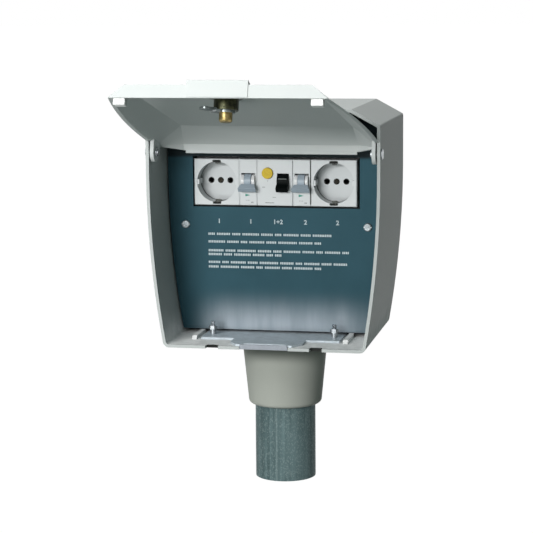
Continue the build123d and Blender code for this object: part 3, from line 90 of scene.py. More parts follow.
# Post tube
# A hot-dip galvanised steel tube of 60.3 mm with a welded seam. The zinc has weathered grey-green,
# and rain has drawn streaks down it. Its small crystals are painted lighter as glints, and a light
# line on the seam and a dark line beside it are painted highlight and shade.
class Field:
    """A value that changes over a surface, so that expressions on it add their Math nodes."""

    def __init__(self, shader, socket):
        self.shader = shader
        self.socket = socket

    def maths(self, operation, first, second):
        """One Math node on two values, either of which may be a number."""
        return self.shader.node("ShaderNodeMath", {"operation": operation}, {0: first, 1: second}, "Value")

    def __add__(self, other):
        return self.maths("ADD", self, other)

    def __radd__(self, other):
        return self.maths("ADD", other, self)

    def __sub__(self, other):
        return self.maths("SUBTRACT", self, other)

    def __rsub__(self, other):
        return self.maths("SUBTRACT", other, self)

    def __mul__(self, other):
        return self.maths("MULTIPLY", self, other)

    def __rmul__(self, other):
        return self.maths("MULTIPLY", other, self)

    def __pow__(self, other):
        return self.maths("POWER", self, other)

    def __abs__(self):
        return self.maths("ABSOLUTE", self, 0)

    def or_more(self, other):
        """The larger of two values."""
        return self.maths("MAXIMUM", self, other)

    def wave(self, pitch):
        """A sine wave from 0 to 1 that repeats every pitch."""
        turns = self * (2 * pi / pitch)
        return self.maths("SINE", turns, 0) * 0.5 + 0.5

    def above(self, start, full):
        """0 up to start, rising to 1 at full. Start may be the larger, and then it falls."""
        settings = {"clamp": True, "interpolation_type": "SMOOTHSTEP"}
        if start < full:
            inputs = {"Value": self, "From Min": start, "From Max": full, "To Min": 0.0, "To Max": 1.0}
        else:
            inputs = {"Value": self, "From Min": full, "From Max": start, "To Min": 1.0, "To Max": 0.0}
        return self.shader.node("ShaderNodeMapRange", settings, inputs, "Result")


class Shader:
    """The node tree of a material or of the world, with one method that makes any node."""

    def __init__(self, tree):
        self.tree = tree

    def connect(self, socket, value):
        """Links a field to a socket, or sets a plain value on it."""
        if isinstance(value, Field):
            self.tree.links.new(value.socket, socket)
        else:
            socket.default_value = value

    def pick(self, sockets, key):
        """A socket by its index, or by its name, or by its identifier where names repeat."""
        if isinstance(key, int):
            return sockets[key]
        matches = [s for s in sockets if key in (s.identifier, s.name)]
        shown = [s for s in matches if s.enabled]
        return (shown or matches)[0]

    def node(self, kind, settings, inputs, output):
        """Any node: its settings are set first, then its sockets get their values or links."""
        made = self.tree.nodes.new(kind)
        for key, value in settings.items():
            setattr(made, key, value)
        for key, value in inputs.items():
            self.connect(self.pick(made.inputs, key), value)
        return Field(self, self.pick(made.outputs, output))


class Finish(Shader):
    """A surface finish, whose patterns lie on Object coordinates, in metres."""

    def __init__(self, name, colour, roughness, metallic=0.0, specular=0.5):
        self.material = bpy.data.materials.new(name)
        self.material.use_nodes = True
        super().__init__(self.material.node_tree)
        self.surface = self.tree.nodes["Principled BSDF"]
        self.place = self.node("ShaderNodeTexCoord", {}, {}, "Object")
        self.tone = colour
        self.give("Base Color", (*colour, 1))
        self.give("Roughness", roughness)
        self.give("Metallic", metallic)
        self.give("Specular IOR Level", specular)

    def give(self, name, value):
        """Sets one of the surface's own sockets."""
        self.connect(self.surface.inputs[name], value)

    def along(self, axis):
        """How far along X, Y or Z a point of the surface lies."""
        return self.node("ShaderNodeSeparateXYZ", {}, {"Vector": self.place}, axis)

    def stretched(self, stretch):
        """The surface's coordinates, multiplied along each axis."""
        return self.node("ShaderNodeMapping", {}, {"Vector": self.place, "Scale": stretch}, "Vector")

    def noise(self, scale, detail=2.0, roughness=0.5, stretch=(1, 1, 1)):
        """Cloudy noise from 0 to 1, with about this many clouds to a metre."""
        inputs = {
            "Vector": self.stretched(stretch),
            "Scale": float(scale),
            "Detail": detail,
            "Roughness": roughness,
        }
        return self.node("ShaderNodeTexNoise", {}, inputs, 0)

    def grains(self, scale, stretch=(1, 1, 1)):
        """One random value from 0 to 1 for each grain, with about this many grains to a metre."""
        inputs = {"Vector": self.stretched(stretch), "Scale": float(scale)}
        colour = self.node("ShaderNodeTexVoronoi", {"feature": "F1"}, inputs, "Color")
        return self.node("ShaderNodeSeparateColor", {}, {"Color": colour}, "Red")

    def mixed(self, share, first, second):
        """A colour between two, where share runs from 0 to 1."""
        first = first if isinstance(first, Field) else (*first, 1)
        second = second if isinstance(second, Field) else (*second, 1)
        inputs = {"Factor_Float": share, "A_Color": first, "B_Color": second}
        return self.node("ShaderNodeMix", {"data_type": "RGBA"}, inputs, "Result_Color")

    def toned(self, share, first, second):
        """Gives the surface a colour between two, and keeps it for what may lie over it."""
        self.tone = self.mixed(share, first, second)
        self.give("Base Color", self.tone)

    def overlaid(self, share, colour):
        """Lays another colour, such as dust or dirt, over the surface's own."""
        self.toned(share, self.tone, colour)

    def relief(self, height, depth):
        """Bump: the height field, this many metres deep."""
        inputs = {"Height": height, "Distance": depth, "Strength": 1.0}
        self.give("Normal", self.node("ShaderNodeBump", {}, inputs, "Normal"))


def dress(name, finish):
    """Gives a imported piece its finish."""
    node = nodes[name]
    if not node.material_slots:
        node.data.materials.append(finish.material)
    for slot in node.material_slots:
        slot.material = finish.material


SEAM_X = -0.0034
SEAM_SHADE_X = -0.0012
SEAM_WIDTH = 0.0011
ZINC_DARK = (0.062, 0.098, 0.10)
ZINC_MIDDLE = (0.128, 0.19, 0.195)
ZINC_PAINTED_GLINT = (0.25, 0.32, 0.32)
ZINC_RELIEF = 0.00012

galvanised = Finish("galvanised", ZINC_MIDDLE, roughness=0.5, metallic=0.2, specular=0.03)
crystals = galvanised.grains(1050, stretch=(1, 1, 0.7))
powder = galvanised.noise(1300, detail=3.0, roughness=0.7)
streaks = galvanised.noise(230, detail=4.0, roughness=0.7, stretch=(1, 1, 0.02))
clouds = galvanised.noise(28, detail=3.0, roughness=0.6, stretch=(1, 1, 0.5))
front_half = galvanised.along("Y").above(0, -0.02)
tube_across = galvanised.along("X")
# The seam is a raised bead coloured light as painted highlight; the dark line beside it is painted shade.
seam = abs(tube_across - SEAM_X).above(SEAM_WIDTH, SEAM_WIDTH * 0.5) * front_half
seam_shade = abs(tube_across - SEAM_SHADE_X).above(SEAM_WIDTH * 1.3, SEAM_WIDTH * 0.6) * front_half
# Painted glint: single crystals coloured lighter, and also made less rough.
painted_glint_and_gloss = (crystals * 0.6 + powder * 0.4).above(0.54, 0.8)
galvanised.toned((streaks * 0.65 + clouds * 0.35).above(0.36, 0.66), ZINC_DARK, ZINC_MIDDLE)
galvanised.overlaid(painted_glint_and_gloss * 0.4 + seam * 0.3, ZINC_PAINTED_GLINT)
galvanised.overlaid(seam_shade * 0.5, ZINC_DARK)
galvanised.give("Roughness", 0.5 - 0.18 * painted_glint_and_gloss)
galvanised.relief(crystals * 0.5 + powder * 0.5 + seam * 2.0, ZINC_RELIEF)
dress("post_tube", galvanised)

# Collar
# A tapered ring moulded in warm grey plastic, pushed up the tube against the underside of the box.
# Its upper part, right under the box, is darkened with painted shadow.
COLLAR_GREY = (0.425, 0.44, 0.40)
COLLAR_SHADE = (0.38, 0.395, 0.355)
COLLAR_SHADOW = (0.045, 0.055, 0.045)
COLLAR_SHADOW_STARTS = 0.028  # below the box
COLLAR_SHADOW_FULL = 0.005

box_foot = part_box("housing")[0][2]
collar_plastic = Finish("collar_plastic", COLLAR_GREY, roughness=0.5, specular=0.06)
collar_grain = collar_plastic.noise(1500, detail=3.0)
# Painted shadow: the collar darkens towards the underside of the box.
box_shadow = collar_plastic.along("Z").above(box_foot - COLLAR_SHADOW_STARTS, box_foot - COLLAR_SHADOW_FULL)
collar_plastic.toned(collar_plastic.noise(22, detail=4.0, roughness=0.6), COLLAR_SHADE, COLLAR_GREY)
collar_plastic.overlaid(box_shadow * 0.85, COLLAR_SHADOW)
collar_plastic.give("Roughness", 0.42 + 0.2 * collar_grain)
collar_plastic.relief(collar_grain, depth=0.00004)
dress("collar", collar_plastic)

# Housing
# One deep shell, moulded in light grey weatherproof plastic with a fine satin grain. Its front
# rim, shoulders and notches are softly rounded. Its floor is paler with dust and painted light.
PLASTIC_LIGHT = (0.475, 0.50, 0.49)
PLASTIC_SHADE = (0.435, 0.462, 0.452)
PLASTIC_DUST_AND_LIGHT = (0.84, 0.85, 0.845)
DUST_FOOT = 0.0027  # above the underside, close to the floor's top
DUST_STEP = 0.0005
DUST_FULL = 0.0010  # above the dust's foot, where it starts to thin out
DUST_TOP = 0.0300
DUST_FRONT = 0.0005  # behind the rim
DUST_BLEND = 0.0040
HOUSING_EDGE = 0.0006
POST_EDGE = 0.0003
SHARP_ANGLE = radians(30)
FLAT_ANGLE = radians(0.3)
MERGE_GAP = 0.000001


def moulded_grey(name, light, shade):
    """The plastic of the box and its lid: faint clouds and a fine satin grain."""
    finish = Finish(name, light, roughness=0.42, specular=0.05)
    finish.grain = finish.noise(1800)
    finish.toned(finish.noise(11, detail=4.0, roughness=0.6), shade, light)
    finish.give("Roughness", 0.36 + 0.16 * finish.grain)
    finish.relief(finish.grain, depth=0.00003)
    return finish


def choose(piece):
    """Selects one object alone and makes it the active one."""
    bpy.ops.object.select_all(action="DESELECT")
    piece.select_set(True)
    bpy.context.view_layer.objects.active = piece


def rounded_copy(node_name, edge, segments=2):
    """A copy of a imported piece: triangles merged, sharp edges rounded, flat faces shaded flat."""
    choose(nodes[node_name])
    bpy.ops.object.duplicate()
    piece = bpy.context.active_object
    del piece["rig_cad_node"]
    del piece["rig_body"]
    bpy.ops.object.parent_clear(type="CLEAR_KEEP_TRANSFORM")
    bpy.ops.mesh.customdata_custom_splitnormals_clear()
    bpy.ops.object.mode_set(mode="EDIT")
    bpy.ops.mesh.select_all(action="SELECT")
    bpy.ops.mesh.remove_doubles(threshold=MERGE_GAP)
    bpy.ops.mesh.dissolve_limited(angle_limit=FLAT_ANGLE)
    bpy.ops.object.mode_set(mode="OBJECT")
    bevel = piece.modifiers.new("edge", "BEVEL")
    bevel.width = edge
    bevel.segments = segments
    bevel.limit_method = "ANGLE"
    bevel.angle_limit = SHARP_ANGLE
    bpy.ops.object.modifier_apply(modifier="edge")
    bpy.ops.object.shade_smooth_by_angle(angle=SHARP_ANGLE)
    level = piece.modifiers.new("level", "WEIGHTED_NORMAL")
    level.keep_sharp = True
    level.weight = 100
    bpy.ops.object.modifier_apply(modifier="level")
    return piece


def settle(piece, name, body, slot, finish, *replaced):
    """Names a finished piece, gives it its finish, attaches it to the body it rides on, and hides the
    pieces it stands for.
    """
    piece.name = name
    piece.data.name = name
    piece.data.materials.clear()
    piece.data.materials.append(finish.material)
    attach(piece, body)
    if replaced:
        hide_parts(*replaced)


def finished(node_name, name, body, slot, finish, edge, segments=2):
    """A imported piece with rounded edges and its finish, which stands for the plain one."""
    settle(rounded_copy(node_name, edge, segments), name, body, slot, finish, node_name)


box_plastic = moulded_grey("box_plastic", PLASTIC_LIGHT, PLASTIC_SHADE)
rim_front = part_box("housing")[0][1]
dust_foot = box_foot + DUST_FOOT
dust_front = rim_front + DUST_FRONT
box_up = box_plastic.along("Z")
thinning = box_up.above(box_foot + DUST_TOP, dust_foot + DUST_FULL)
low = box_up.above(dust_foot - DUST_STEP, dust_foot) * thinning
behind = box_plastic.along("Y").above(dust_front, dust_front + DUST_BLEND)
patches = box_plastic.noise(70, detail=4.0, roughness=0.65).above(0.3, 0.7)
# The floor is made much paler: partly settled dust, partly painted light.
dust_and_light = low * behind * (0.5 + 0.5 * patches)
box_plastic.overlaid(dust_and_light * 0.95, PLASTIC_DUST_AND_LIGHT)
box_plastic.give("Roughness", 0.36 + 0.16 * box_plastic.grain + 0.12 * dust_and_light)
finished("housing", "housing_shell", "box", "box_plastic", box_plastic, edge=HOUSING_EDGE)
finished("cover_posts", "cover_post_pair", "box", "box_plastic", box_plastic, edge=POST_EDGE)
finished("rail_posts", "rail_post_pair", "box", "box_plastic", box_plastic, edge=POST_EDGE)

# Lid
# A folded shell of the same plastic, set paler than the box's as painted light, swung up over the
# box on two ears. The raised guard round its lock is moulded on the outside, and two white lugs
# inside its lower edge.
# The lid's colours are paler than the box's: painted light.
LID_LIGHT = (0.59, 0.615, 0.605)
LID_SHADE = (0.55, 0.578, 0.568)
LUG_WHITE = (0.84, 0.84, 0.825)
LUG_SHADE = (0.76, 0.765, 0.75)
LID_EDGE = 0.0005
LUG_EDGE = 0.0009

lid_plastic = moulded_grey("lid_plastic", LID_LIGHT, LID_SHADE)
lug_plastic = Finish("lug_plastic", LUG_WHITE, roughness=0.35)
lug_grain = lug_plastic.noise(900)
lug_plastic.toned(lug_plastic.noise(120, detail=3.0), LUG_SHADE, LUG_WHITE)
lug_plastic.give("Roughness", 0.3 + 0.15 * lug_grain)
lug_plastic.relief(lug_grain, depth=0.00003)
finished("lid", "lid_shell", "lid", "box_plastic", lid_plastic, edge=LID_EDGE)
finished("lock_guard", "guard_pad", "lid", "box_plastic", lid_plastic, edge=LID_EDGE)
finished("lid_lugs", "lug_pair", "lid", "lug_plastic", lug_plastic, edge=LUG_EDGE, segments=3)

# Hinge
# Two headed steel pins, zinc plated, go through the walls and the lid's ears, each with a washer
# on its inner end.
ZINC_BRIGHT = (0.50, 0.53, 0.545)
ZINC_DULL = (0.27, 0.295, 0.31)
PIN_EDGE = 0.0003
WASHER_EDGE = 0.0002


def plated(name, bright, dull, roughness, scratch_stretch=(1, 1, 1), metallic=0.9):
    """Plated metal: cloudy, finely scratched along one way, and duller where it has clouded."""
    finish = Finish(name, bright, roughness, metallic=metallic)
    cloud = finish.noise(160, detail=4.0, roughness=0.65)
    scratch = finish.noise(2600, stretch=scratch_stretch)
    finish.toned(cloud.above(0.3, 0.7), dull, bright)
    finish.give("Roughness", roughness - 0.1 + 0.16 * scratch + 0.08 * cloud)
    finish.relief(scratch, depth=0.00002)
    return finish


bright_zinc = plated("bright_zinc", ZINC_BRIGHT, ZINC_DULL, roughness=0.36)
finished("hinge_pins", "hinge_pin_pair", "box", "bright_zinc", bright_zinc, edge=PIN_EDGE)
finished("hinge_washers", "hinge_washer_pair", "box", "bright_zinc", bright_zinc, edge=WASHER_EDGE)

# Lock
# A die-cast barrel lock, tarnished olive, which a flat nut holds in the lid. Its brass plug turns
# a cranked, plated cam, held on by a slotted brass screw.
OLIVE_DARK = (0.026, 0.027, 0.017)
OLIVE_LIGHT = (0.075, 0.078, 0.040)
CAM_LIGHT = (0.33, 0.37, 0.37)
CAM_DARK = (0.10, 0.12, 0.115)
BRASS_LIGHT = (0.29, 0.23, 0.10)
BRASS_DARK = (0.12, 0.095, 0.035)
CASTING_EDGE = 0.0005
CAM_EDGE = 0.0003
PLUG_EDGE = 0.0002

lock_zinc = Finish("lock_zinc", OLIVE_LIGHT, roughness=0.3, metallic=0.9)
tarnish = lock_zinc.noise(210, detail=4.0, roughness=0.7)
lock_zinc.toned(tarnish.above(0.35, 0.65), OLIVE_DARK, OLIVE_LIGHT)
lock_zinc.give("Roughness", 0.22 + 0.25 * tarnish)
lock_zinc.relief(lock_zinc.noise(1900), depth=0.00004)
cam_zinc = plated("cam_zinc", CAM_LIGHT, CAM_DARK, roughness=0.28)
brass = Finish("brass", BRASS_LIGHT, roughness=0.25, metallic=1.0)
brass_tarnish = brass.noise(330, detail=4.0, roughness=0.7)
brass.toned(brass_tarnish.above(0.42, 0.7), BRASS_LIGHT, BRASS_DARK)
brass.give("Roughness", 0.2 + 0.25 * brass_tarnish)
brass.relief(brass.noise(2200), depth=0.00002)
finished("lock_case", "lock_casting", "lid", "lock_zinc", lock_zinc, edge=CASTING_EDGE)
finished("lock_nut", "lock_ring_nut", "lid", "lock_zinc", lock_zinc, edge=CASTING_EDGE)
finished("lock_cam", "lock_cam_plate", "lock", "lock_zinc", cam_zinc, edge=CAM_EDGE)
finished("lock_barrel", "lock_plug", "lock", "brass", brass, edge=PLUG_EDGE)
finished("cam_screw", "slotted_cam_screw", "lock", "brass", brass, edge=PLUG_EDGE)

# Base plate and its studs
# A pressed steel plate, zinc plated and dulled, on four studs with spacers and nuts. Its tongue
# ends in a flange at the front, which the lock's cam hooks behind; the flange's front face is
# darkened as painted shade.
PLATE_BRIGHT = (0.50, 0.56, 0.60)
PLATE_DULL = (0.39, 0.44, 0.47)
FLANGE_SHADE = (0.10, 0.105, 0.125)
FLANGE_FRONT = 0.0006  # from the foremost point, where the dark face is full
FLANGE_BACK = 0.0012
STUD_BRIGHT = (0.62, 0.67, 0.72)
STUD_DULL = (0.24, 0.27, 0.30)
THREAD_PITCH = 0.0007
THREAD_DEPTH = 0.00025
PLATE_EDGE = 0.0003
STUD_EDGE = 0.0004
NUT_EDGE = 0.0005

plate_zinc = plated(
    "plate_zinc", PLATE_BRIGHT, PLATE_DULL,
    roughness=0.46, scratch_stretch=(0.04, 1, 1), metallic=0.35,
)
plate_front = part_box("base_plate")[0][1]
# Painted shade: the flange's front face darkened.
flange_shade = plate_zinc.along("Y").above(plate_front + FLANGE_BACK, plate_front + FLANGE_FRONT)
plate_zinc.overlaid(flange_shade * 0.7, FLANGE_SHADE)
stud_zinc = plated("stud_zinc", STUD_BRIGHT, STUD_DULL, roughness=0.24)
stud_zinc.relief(stud_zinc.along("Z").wave(THREAD_PITCH), THREAD_DEPTH)
finished("base_plate", "strike_plate", "box", "bright_zinc", plate_zinc, edge=PLATE_EDGE)
finished("carriage_bolts", "studs", "box", "bright_zinc", stud_zinc, edge=STUD_EDGE)
finished("base_spacers", "stud_spacers", "box", "bright_zinc", bright_zinc, edge=PLATE_EDGE)
finished("base_nuts", "stud_nuts", "box", "bright_zinc", bright_zinc, edge=NUT_EDGE, segments=3)

# Sleeve round the tube
# A turned steel ring behind the cover plate, coloured near black, whose three plated screws grip
# the tube.
RING_LIGHT = (0.10, 0.105, 0.11)
RING_DARK = (0.035, 0.038, 0.04)
RING_EDGE = 0.0005
RING_SCREW_EDGE = 0.0004

ring_zinc = plated("ring_zinc", RING_LIGHT, RING_DARK, roughness=0.5, metallic=0.5)
finished("post_sleeve", "clamp_ring", "box", "bright_zinc", ring_zinc, edge=RING_EDGE)
finished("sleeve_screws", "clamp_ring_screws", "box", "bright_zinc", bright_zinc, edge=RING_SCREW_EDGE)

# Cover plate
# A steel sheet in steel-blue satin paint with a fine orange peel. Above the devices it is darkened
# with painted shadow, and along its foot it is lightened in streaks with dust and a painted
# reflection of the lit floor. Rows of pale print stand below the devices, and a domed screw holds
# each side.
PAINT_BLUE = (0.0165, 0.050, 0.065)
PAINT_DEEP = (0.0135, 0.043, 0.056)
PAINT_SHADOW = (0.004, 0.008, 0.009)
PAINT_DUST_AND_REFLECTION = (0.24, 0.275, 0.305)
PLATE_SHADOW_FOOT = 0.3228
PLATE_SHADOW_TOP = 0.3265
FALLEN_TOP = 0.050  # above the plate's foot
FALLEN_FULL = 0.004
FALLEN_LEFT = (-0.092, -0.045)
FALLEN_RIGHT = (0.088, 0.060)
DOME_BRIGHT = (0.33, 0.37, 0.385)
DOME_DULL = (0.15, 0.175, 0.18)
SHEET_EDGE = 0.0003
DOME_EDGE = 0.0005
PRINT_PALE = (0.50, 0.56, 0.575)
PRINT_WORN = (0.22, 0.28, 0.30)
PRINT_THICKNESS = 0.00006
CAPITAL_SHARE = 0.69  # of the size of the lettering
STROKE_SHARE = 0.03
CORNER_SHARE = 0.3
LABEL_HEIGHT = 0.0042
LABEL_FOOT = 0.2601
LABELS = ((-0.0565, "1"), (-0.025, "1"), (0.002, "1+2"), (0.0291, "2"), (0.0605, "2"))
SIGN_HEIGHT = 0.0023
SIGN_WIDTH = 0.0012
SIGN_PITCH = 0.0017
SHORTEST_WORD = 4
WORD_SPREAD = 8
WORD_STEP = 0.618
ROW_START = -0.0675
ROWS = (  # the height of its middle, and where it ends
    (0.2494, 0.0569), (0.2418, 0.0445), (0.2331, 0.0720),
    (0.2293, 0.0051), (0.2216, 0.0700), (0.2170, 0.0454),
)

cover_front, cover_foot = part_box("cover_plate")[0][1:]
cover_paint = Finish("cover_paint", PAINT_BLUE, roughness=0.36, metallic=0.3, specular=0.08)
peel = cover_paint.noise(650, detail=3.0, roughness=0.6)
blotch = cover_paint.noise(26, detail=4.0, roughness=0.6, stretch=(1, 1, 0.5))
streak = cover_paint.noise(60, detail=3.0, roughness=0.6, stretch=(1, 1, 0.12)).above(0.25, 0.75)
plate_across = cover_paint.along("X")
plate_up = cover_paint.along("Z")
# Dust and painted reflection: the sheet lightens towards its foot, less so at the left.
dust_and_reflection = plate_up.above(cover_foot + FALLEN_TOP, cover_foot + FALLEN_FULL)
spread = plate_across.above(*FALLEN_LEFT) * (0.4 + 0.6 * plate_across.above(*FALLEN_RIGHT))
cover_paint.toned(blotch.above(0.3, 0.7), PAINT_DEEP, PAINT_BLUE)
# Painted shadow: the sheet darkened above the devices, under the lid.
cover_paint.overlaid(plate_up.above(PLATE_SHADOW_FOOT, PLATE_SHADOW_TOP) * 0.95, PAINT_SHADOW)
cover_paint.overlaid(dust_and_reflection ** 1.9 * spread * (0.72 + 0.32 * streak), PAINT_DUST_AND_REFLECTION)
cover_paint.give("Roughness", 0.32 + 0.1 * peel + 0.1 * dust_and_reflection)
cover_paint.relief(peel, depth=0.00003)
dome_zinc = plated("dome_zinc", DOME_BRIGHT, DOME_DULL, roughness=0.34, metallic=0.5)
finished("cover_plate", "cover_sheet", "box", "cover_paint", cover_paint, edge=SHEET_EDGE)
finished("cover_screws", "domed_screws", "box", "bright_zinc", dome_zinc, edge=DOME_EDGE, segments=3)

print_pale = Finish("print_pale", PRINT_PALE, roughness=0.55)
wear = print_pale.noise(900, detail=3.0, roughness=0.7)
print_pale.toned(wear.above(0.5, 0.72), PRINT_PALE, PRINT_WORN)
print_pale.give("Roughness", 0.45 + 0.2 * wear)


def printed_text(words, height, centre, foot, front):
    """Flat raised lettering on a face that looks to the front."""
    bpy.ops.object.select_all(action="DESELECT")
    bpy.ops.object.text_add()
    text = bpy.context.active_object
    text.data.body = words
    text.data.align_x = "CENTER"
    text.data.size = height / CAPITAL_SHARE
    text.data.offset = height * STROKE_SHARE
    text.data.extrude = PRINT_THICKNESS / 2
    bpy.ops.object.convert(target="MESH")
    text = bpy.context.active_object
    text.rotation_euler = (pi / 2, 0, 0)
    text.location = (centre, front - PRINT_THICKNESS / 2, foot)
    bpy.ops.object.transform_apply(location=True, rotation=True, scale=True)
    return text


def round_corners(flat, radius):
    """Rounds the corners of a flat mark: its short edges, which run to the front."""
    bevel = flat.modifiers.new("corners", "BEVEL")
    bevel.width = radius
    bevel.segments = 2
    bevel.limit_method = "WEIGHT"
    weights = flat.data.attributes.new("bevel_weight_edge", "FLOAT", "EDGE")
    for edge in flat.data.edges:
        ends = [flat.data.vertices[index].co for index in edge.vertices]
        along_depth = abs(ends[0].y - ends[1].y) > PRINT_THICKNESS / 2
        weights.data[edge.index].value = 1.0 if along_depth else 0.0
    bpy.ops.object.modifier_apply(modifier="corners")
    return flat


def printed_bar(start, width, height, foot, front):
    """A flat raised bar with rounded corners."""
    centre = (start + width / 2, front - PRINT_THICKNESS / 2, foot + height / 2)
    bpy.ops.object.select_all(action="DESELECT")
    bpy.ops.mesh.primitive_cube_add(size=1, location=centre)
    bar = bpy.context.active_object
    bar.scale = (width, PRINT_THICKNESS, height)
    bpy.ops.object.transform_apply(location=True, rotation=True, scale=True)
    return round_corners(bar, min(width, height) * CORNER_SHARE)


def joined(pieces):
    """One object from several, the first of which keeps its name."""
    bpy.ops.object.select_all(action="DESELECT")
    for piece in pieces:
        piece.select_set(True)
    bpy.context.view_layer.objects.active = pieces[0]
    bpy.ops.object.join()
    return pieces[0]


labels = [printed_text(words, LABEL_HEIGHT, x, LABEL_FOOT, cover_front) for x, words in LABELS]
settle(joined(labels), "circuit_numbers", "box", "cover_paint", print_pale)
bars = []
for row, (row_height, row_end) in enumerate(ROWS):
    start = ROW_START
    word = row * 3
    while start < row_end - 2 * SIGN_PITCH:
        wanted = SHORTEST_WORD + int(WORD_SPREAD * (word * WORD_STEP % 1))
        signs = min(wanted, round((row_end - start) / SIGN_PITCH))
        bar = printed_bar(start, SIGN_WIDTH, SIGN_HEIGHT, row_height - SIGN_HEIGHT / 2, cover_front)
        array = bar.modifiers.new("signs", "ARRAY")
        array.count = signs
        array.use_relative_offset = False
        array.use_constant_offset = True
        array.constant_offset_displace = (SIGN_PITCH, 0, 0)
        bpy.ops.object.modifier_apply(modifier="signs")
        bars.append(bar)
        start += (signs + 1) * SIGN_PITCH
        word += 1
settle(joined(bars), "print_rows", "box", "cover_paint", print_pale)

# Sockets
# Two earthed outlets moulded in pale grey: a round recess with guide ribs, its floor with the two
# pin holes and the fixing screw, and a sprung nickel earth clip at the top and the bottom. Dark
# bars in the clips' slots and dark rings round the holes are painted shade; so is the near black
# of the contact tubes, the fixing screw and the blotches on the clips, whose bright blotches are
# painted glints.
DEVICE_GREY = (0.61, 0.635, 0.64)
DEVICE_SHADE = (0.58, 0.605, 0.61)
DEVICE_BASE_SHADE = (0.030, 0.034, 0.034)
BASE_FRONT = -0.0300  # behind this the devices' bases are in the dark
BASE_FADE = 0.0005
INSERT_LIGHT = (0.55, 0.575, 0.58)
INSERT_SHADE = (0.52, 0.545, 0.55)
CONTACT_DARK = (0.030, 0.032, 0.028)
CONTACT_LIGHT = (0.075, 0.075, 0.06)
NICKEL_LIGHT = (0.62, 0.61, 0.57)
NICKEL_SHADE = (0.02, 0.02, 0.018)
SCREW_LIGHT = (0.014, 0.012, 0.008)
SCREW_DARK = (0.005, 0.005, 0.004)
DEVICE_EDGE = 0.0003
INSERT_EDGE = 0.0002
CONTACT_EDGE = 0.0001
CLIP_EDGE = 0.00025
SLOT_DARK = (0.012, 0.013, 0.012)
SLOT_SHADE_DEEP = (0.03, 0.032, 0.03)
SLOT_WIDTH = 0.0082
SLOT_HEIGHT = 0.0022
SLOT_OVERLAP = 0.0006
RECESS_RADIUS = 0.01975
PIN_REACH = 0.0095
RIM_RADIUS = 0.00265
RIM_WIDTH = 0.0007
RIM_HEIGHT = 0.0001


def moulded_device(name, light, shade, roughness, specular=0.35):
    """The fine satin plastic of the devices."""
    finish = Finish(name, light, roughness, specular=specular)
    grain = finish.noise(2400)
    finish.toned(finish.noise(45, detail=3.0), shade, light)
    finish.give("Roughness", roughness - 0.06 + 0.12 * grain)
    finish.relief(grain, depth=0.000015)
    return finish


def painted_rim_shade(x, z, front):
    """Painted shade round a hole: a dark ring lying flat on a face that looks to the front."""
    bpy.ops.object.select_all(action="DESELECT")
    bpy.ops.mesh.primitive_torus_add(
        major_radius=RIM_RADIUS, minor_radius=RIM_WIDTH / 2, major_segments=32, minor_segments=8,
        location=(x, front, z), rotation=(pi / 2, 0, 0),
    )
    rim = bpy.context.active_object
    rim.scale = (1, 1, RIM_HEIGHT / (RIM_WIDTH / 2))
    bpy.ops.object.transform_apply(location=True, rotation=True, scale=True)
    return rim


device_plastic = moulded_device("device_plastic", DEVICE_GREY, DEVICE_SHADE, roughness=0.34)
# Painted shade: the devices' bases behind the cover plate are coloured near black.
shaded_base = device_plastic.along("Y").above(BASE_FRONT - BASE_FADE, BASE_FRONT)
device_plastic.overlaid(shaded_base, DEVICE_BASE_SHADE)
insert_plastic = moulded_device("insert_plastic", INSERT_LIGHT, INSERT_SHADE, roughness=0.38)
# The nickel is blotched between bright and near black: painted glints and shade.
nickel = plated("nickel", NICKEL_LIGHT, NICKEL_SHADE, roughness=0.16)
# Painted shade: the contact tubes and the fixing screw, deep in their holes, are coloured near black.
shaded_contact_metal = plated("shaded_contact_metal", CONTACT_LIGHT, CONTACT_DARK, roughness=0.4)
shaded_screw_metal = plated("shaded_screw_metal", SCREW_LIGHT, SCREW_DARK, roughness=0.35)
# Painted shade: one dark material for the clips' slots, the holes' rims, the notches and one seam.
slot_shadow = moulded_device("slot_shadow", SLOT_DARK, SLOT_SHADE_DEEP, roughness=0.6, specular=0.05)
for socket in ("socket_a", "socket_b"):
    for part, name, slot, finish, edge in (
        ("body", "case", "device_plastic", device_plastic, DEVICE_EDGE),
        ("insert", "floor", "device_plastic", insert_plastic, INSERT_EDGE),
        ("contacts", "tubes", "nickel", shaded_contact_metal, CONTACT_EDGE),
        ("earth_clips", "clips", "nickel", nickel, CLIP_EDGE),
    ):
        finished(f"{socket}_{part}", f"{socket}_{name}", "box", slot, finish, edge)
    clips_low, clips_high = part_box(f"{socket}_earth_clips")
    middle = (clips_low[0] + clips_high[0]) / 2
    centre = (clips_low[2] + clips_high[2]) / 2
    socket_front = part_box(f"{socket}_body")[0][1]
    # Painted shade: dark bars on the face where the clips' slots open.
    slot_feet = (
        centre + RECESS_RADIUS - SLOT_OVERLAP,
        centre - RECESS_RADIUS + SLOT_OVERLAP - SLOT_HEIGHT,
    )
    slot_shades = [
        printed_bar(middle - SLOT_WIDTH / 2, SLOT_WIDTH, SLOT_HEIGHT, foot, socket_front)
        for foot in slot_feet
    ]
    settle(joined(slot_shades), f"{socket}_clip_slot_shades", "box", "device_plastic", slot_shadow)
    insert_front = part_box(f"{socket}_insert")[0][1]
    # Painted shade: dark rings round the pin holes and the screw hole.
    rims = [painted_rim_shade(middle + reach, centre, insert_front) for reach in (-PIN_REACH, 0, PIN_REACH)]
    settle(joined(rims), f"{socket}_hole_rim_shades", "box", "device_plastic", slot_shadow)
finished("socket_screws", "recessed_screws", "box", "nickel", shaded_screw_metal, edge=DEVICE_EDGE)

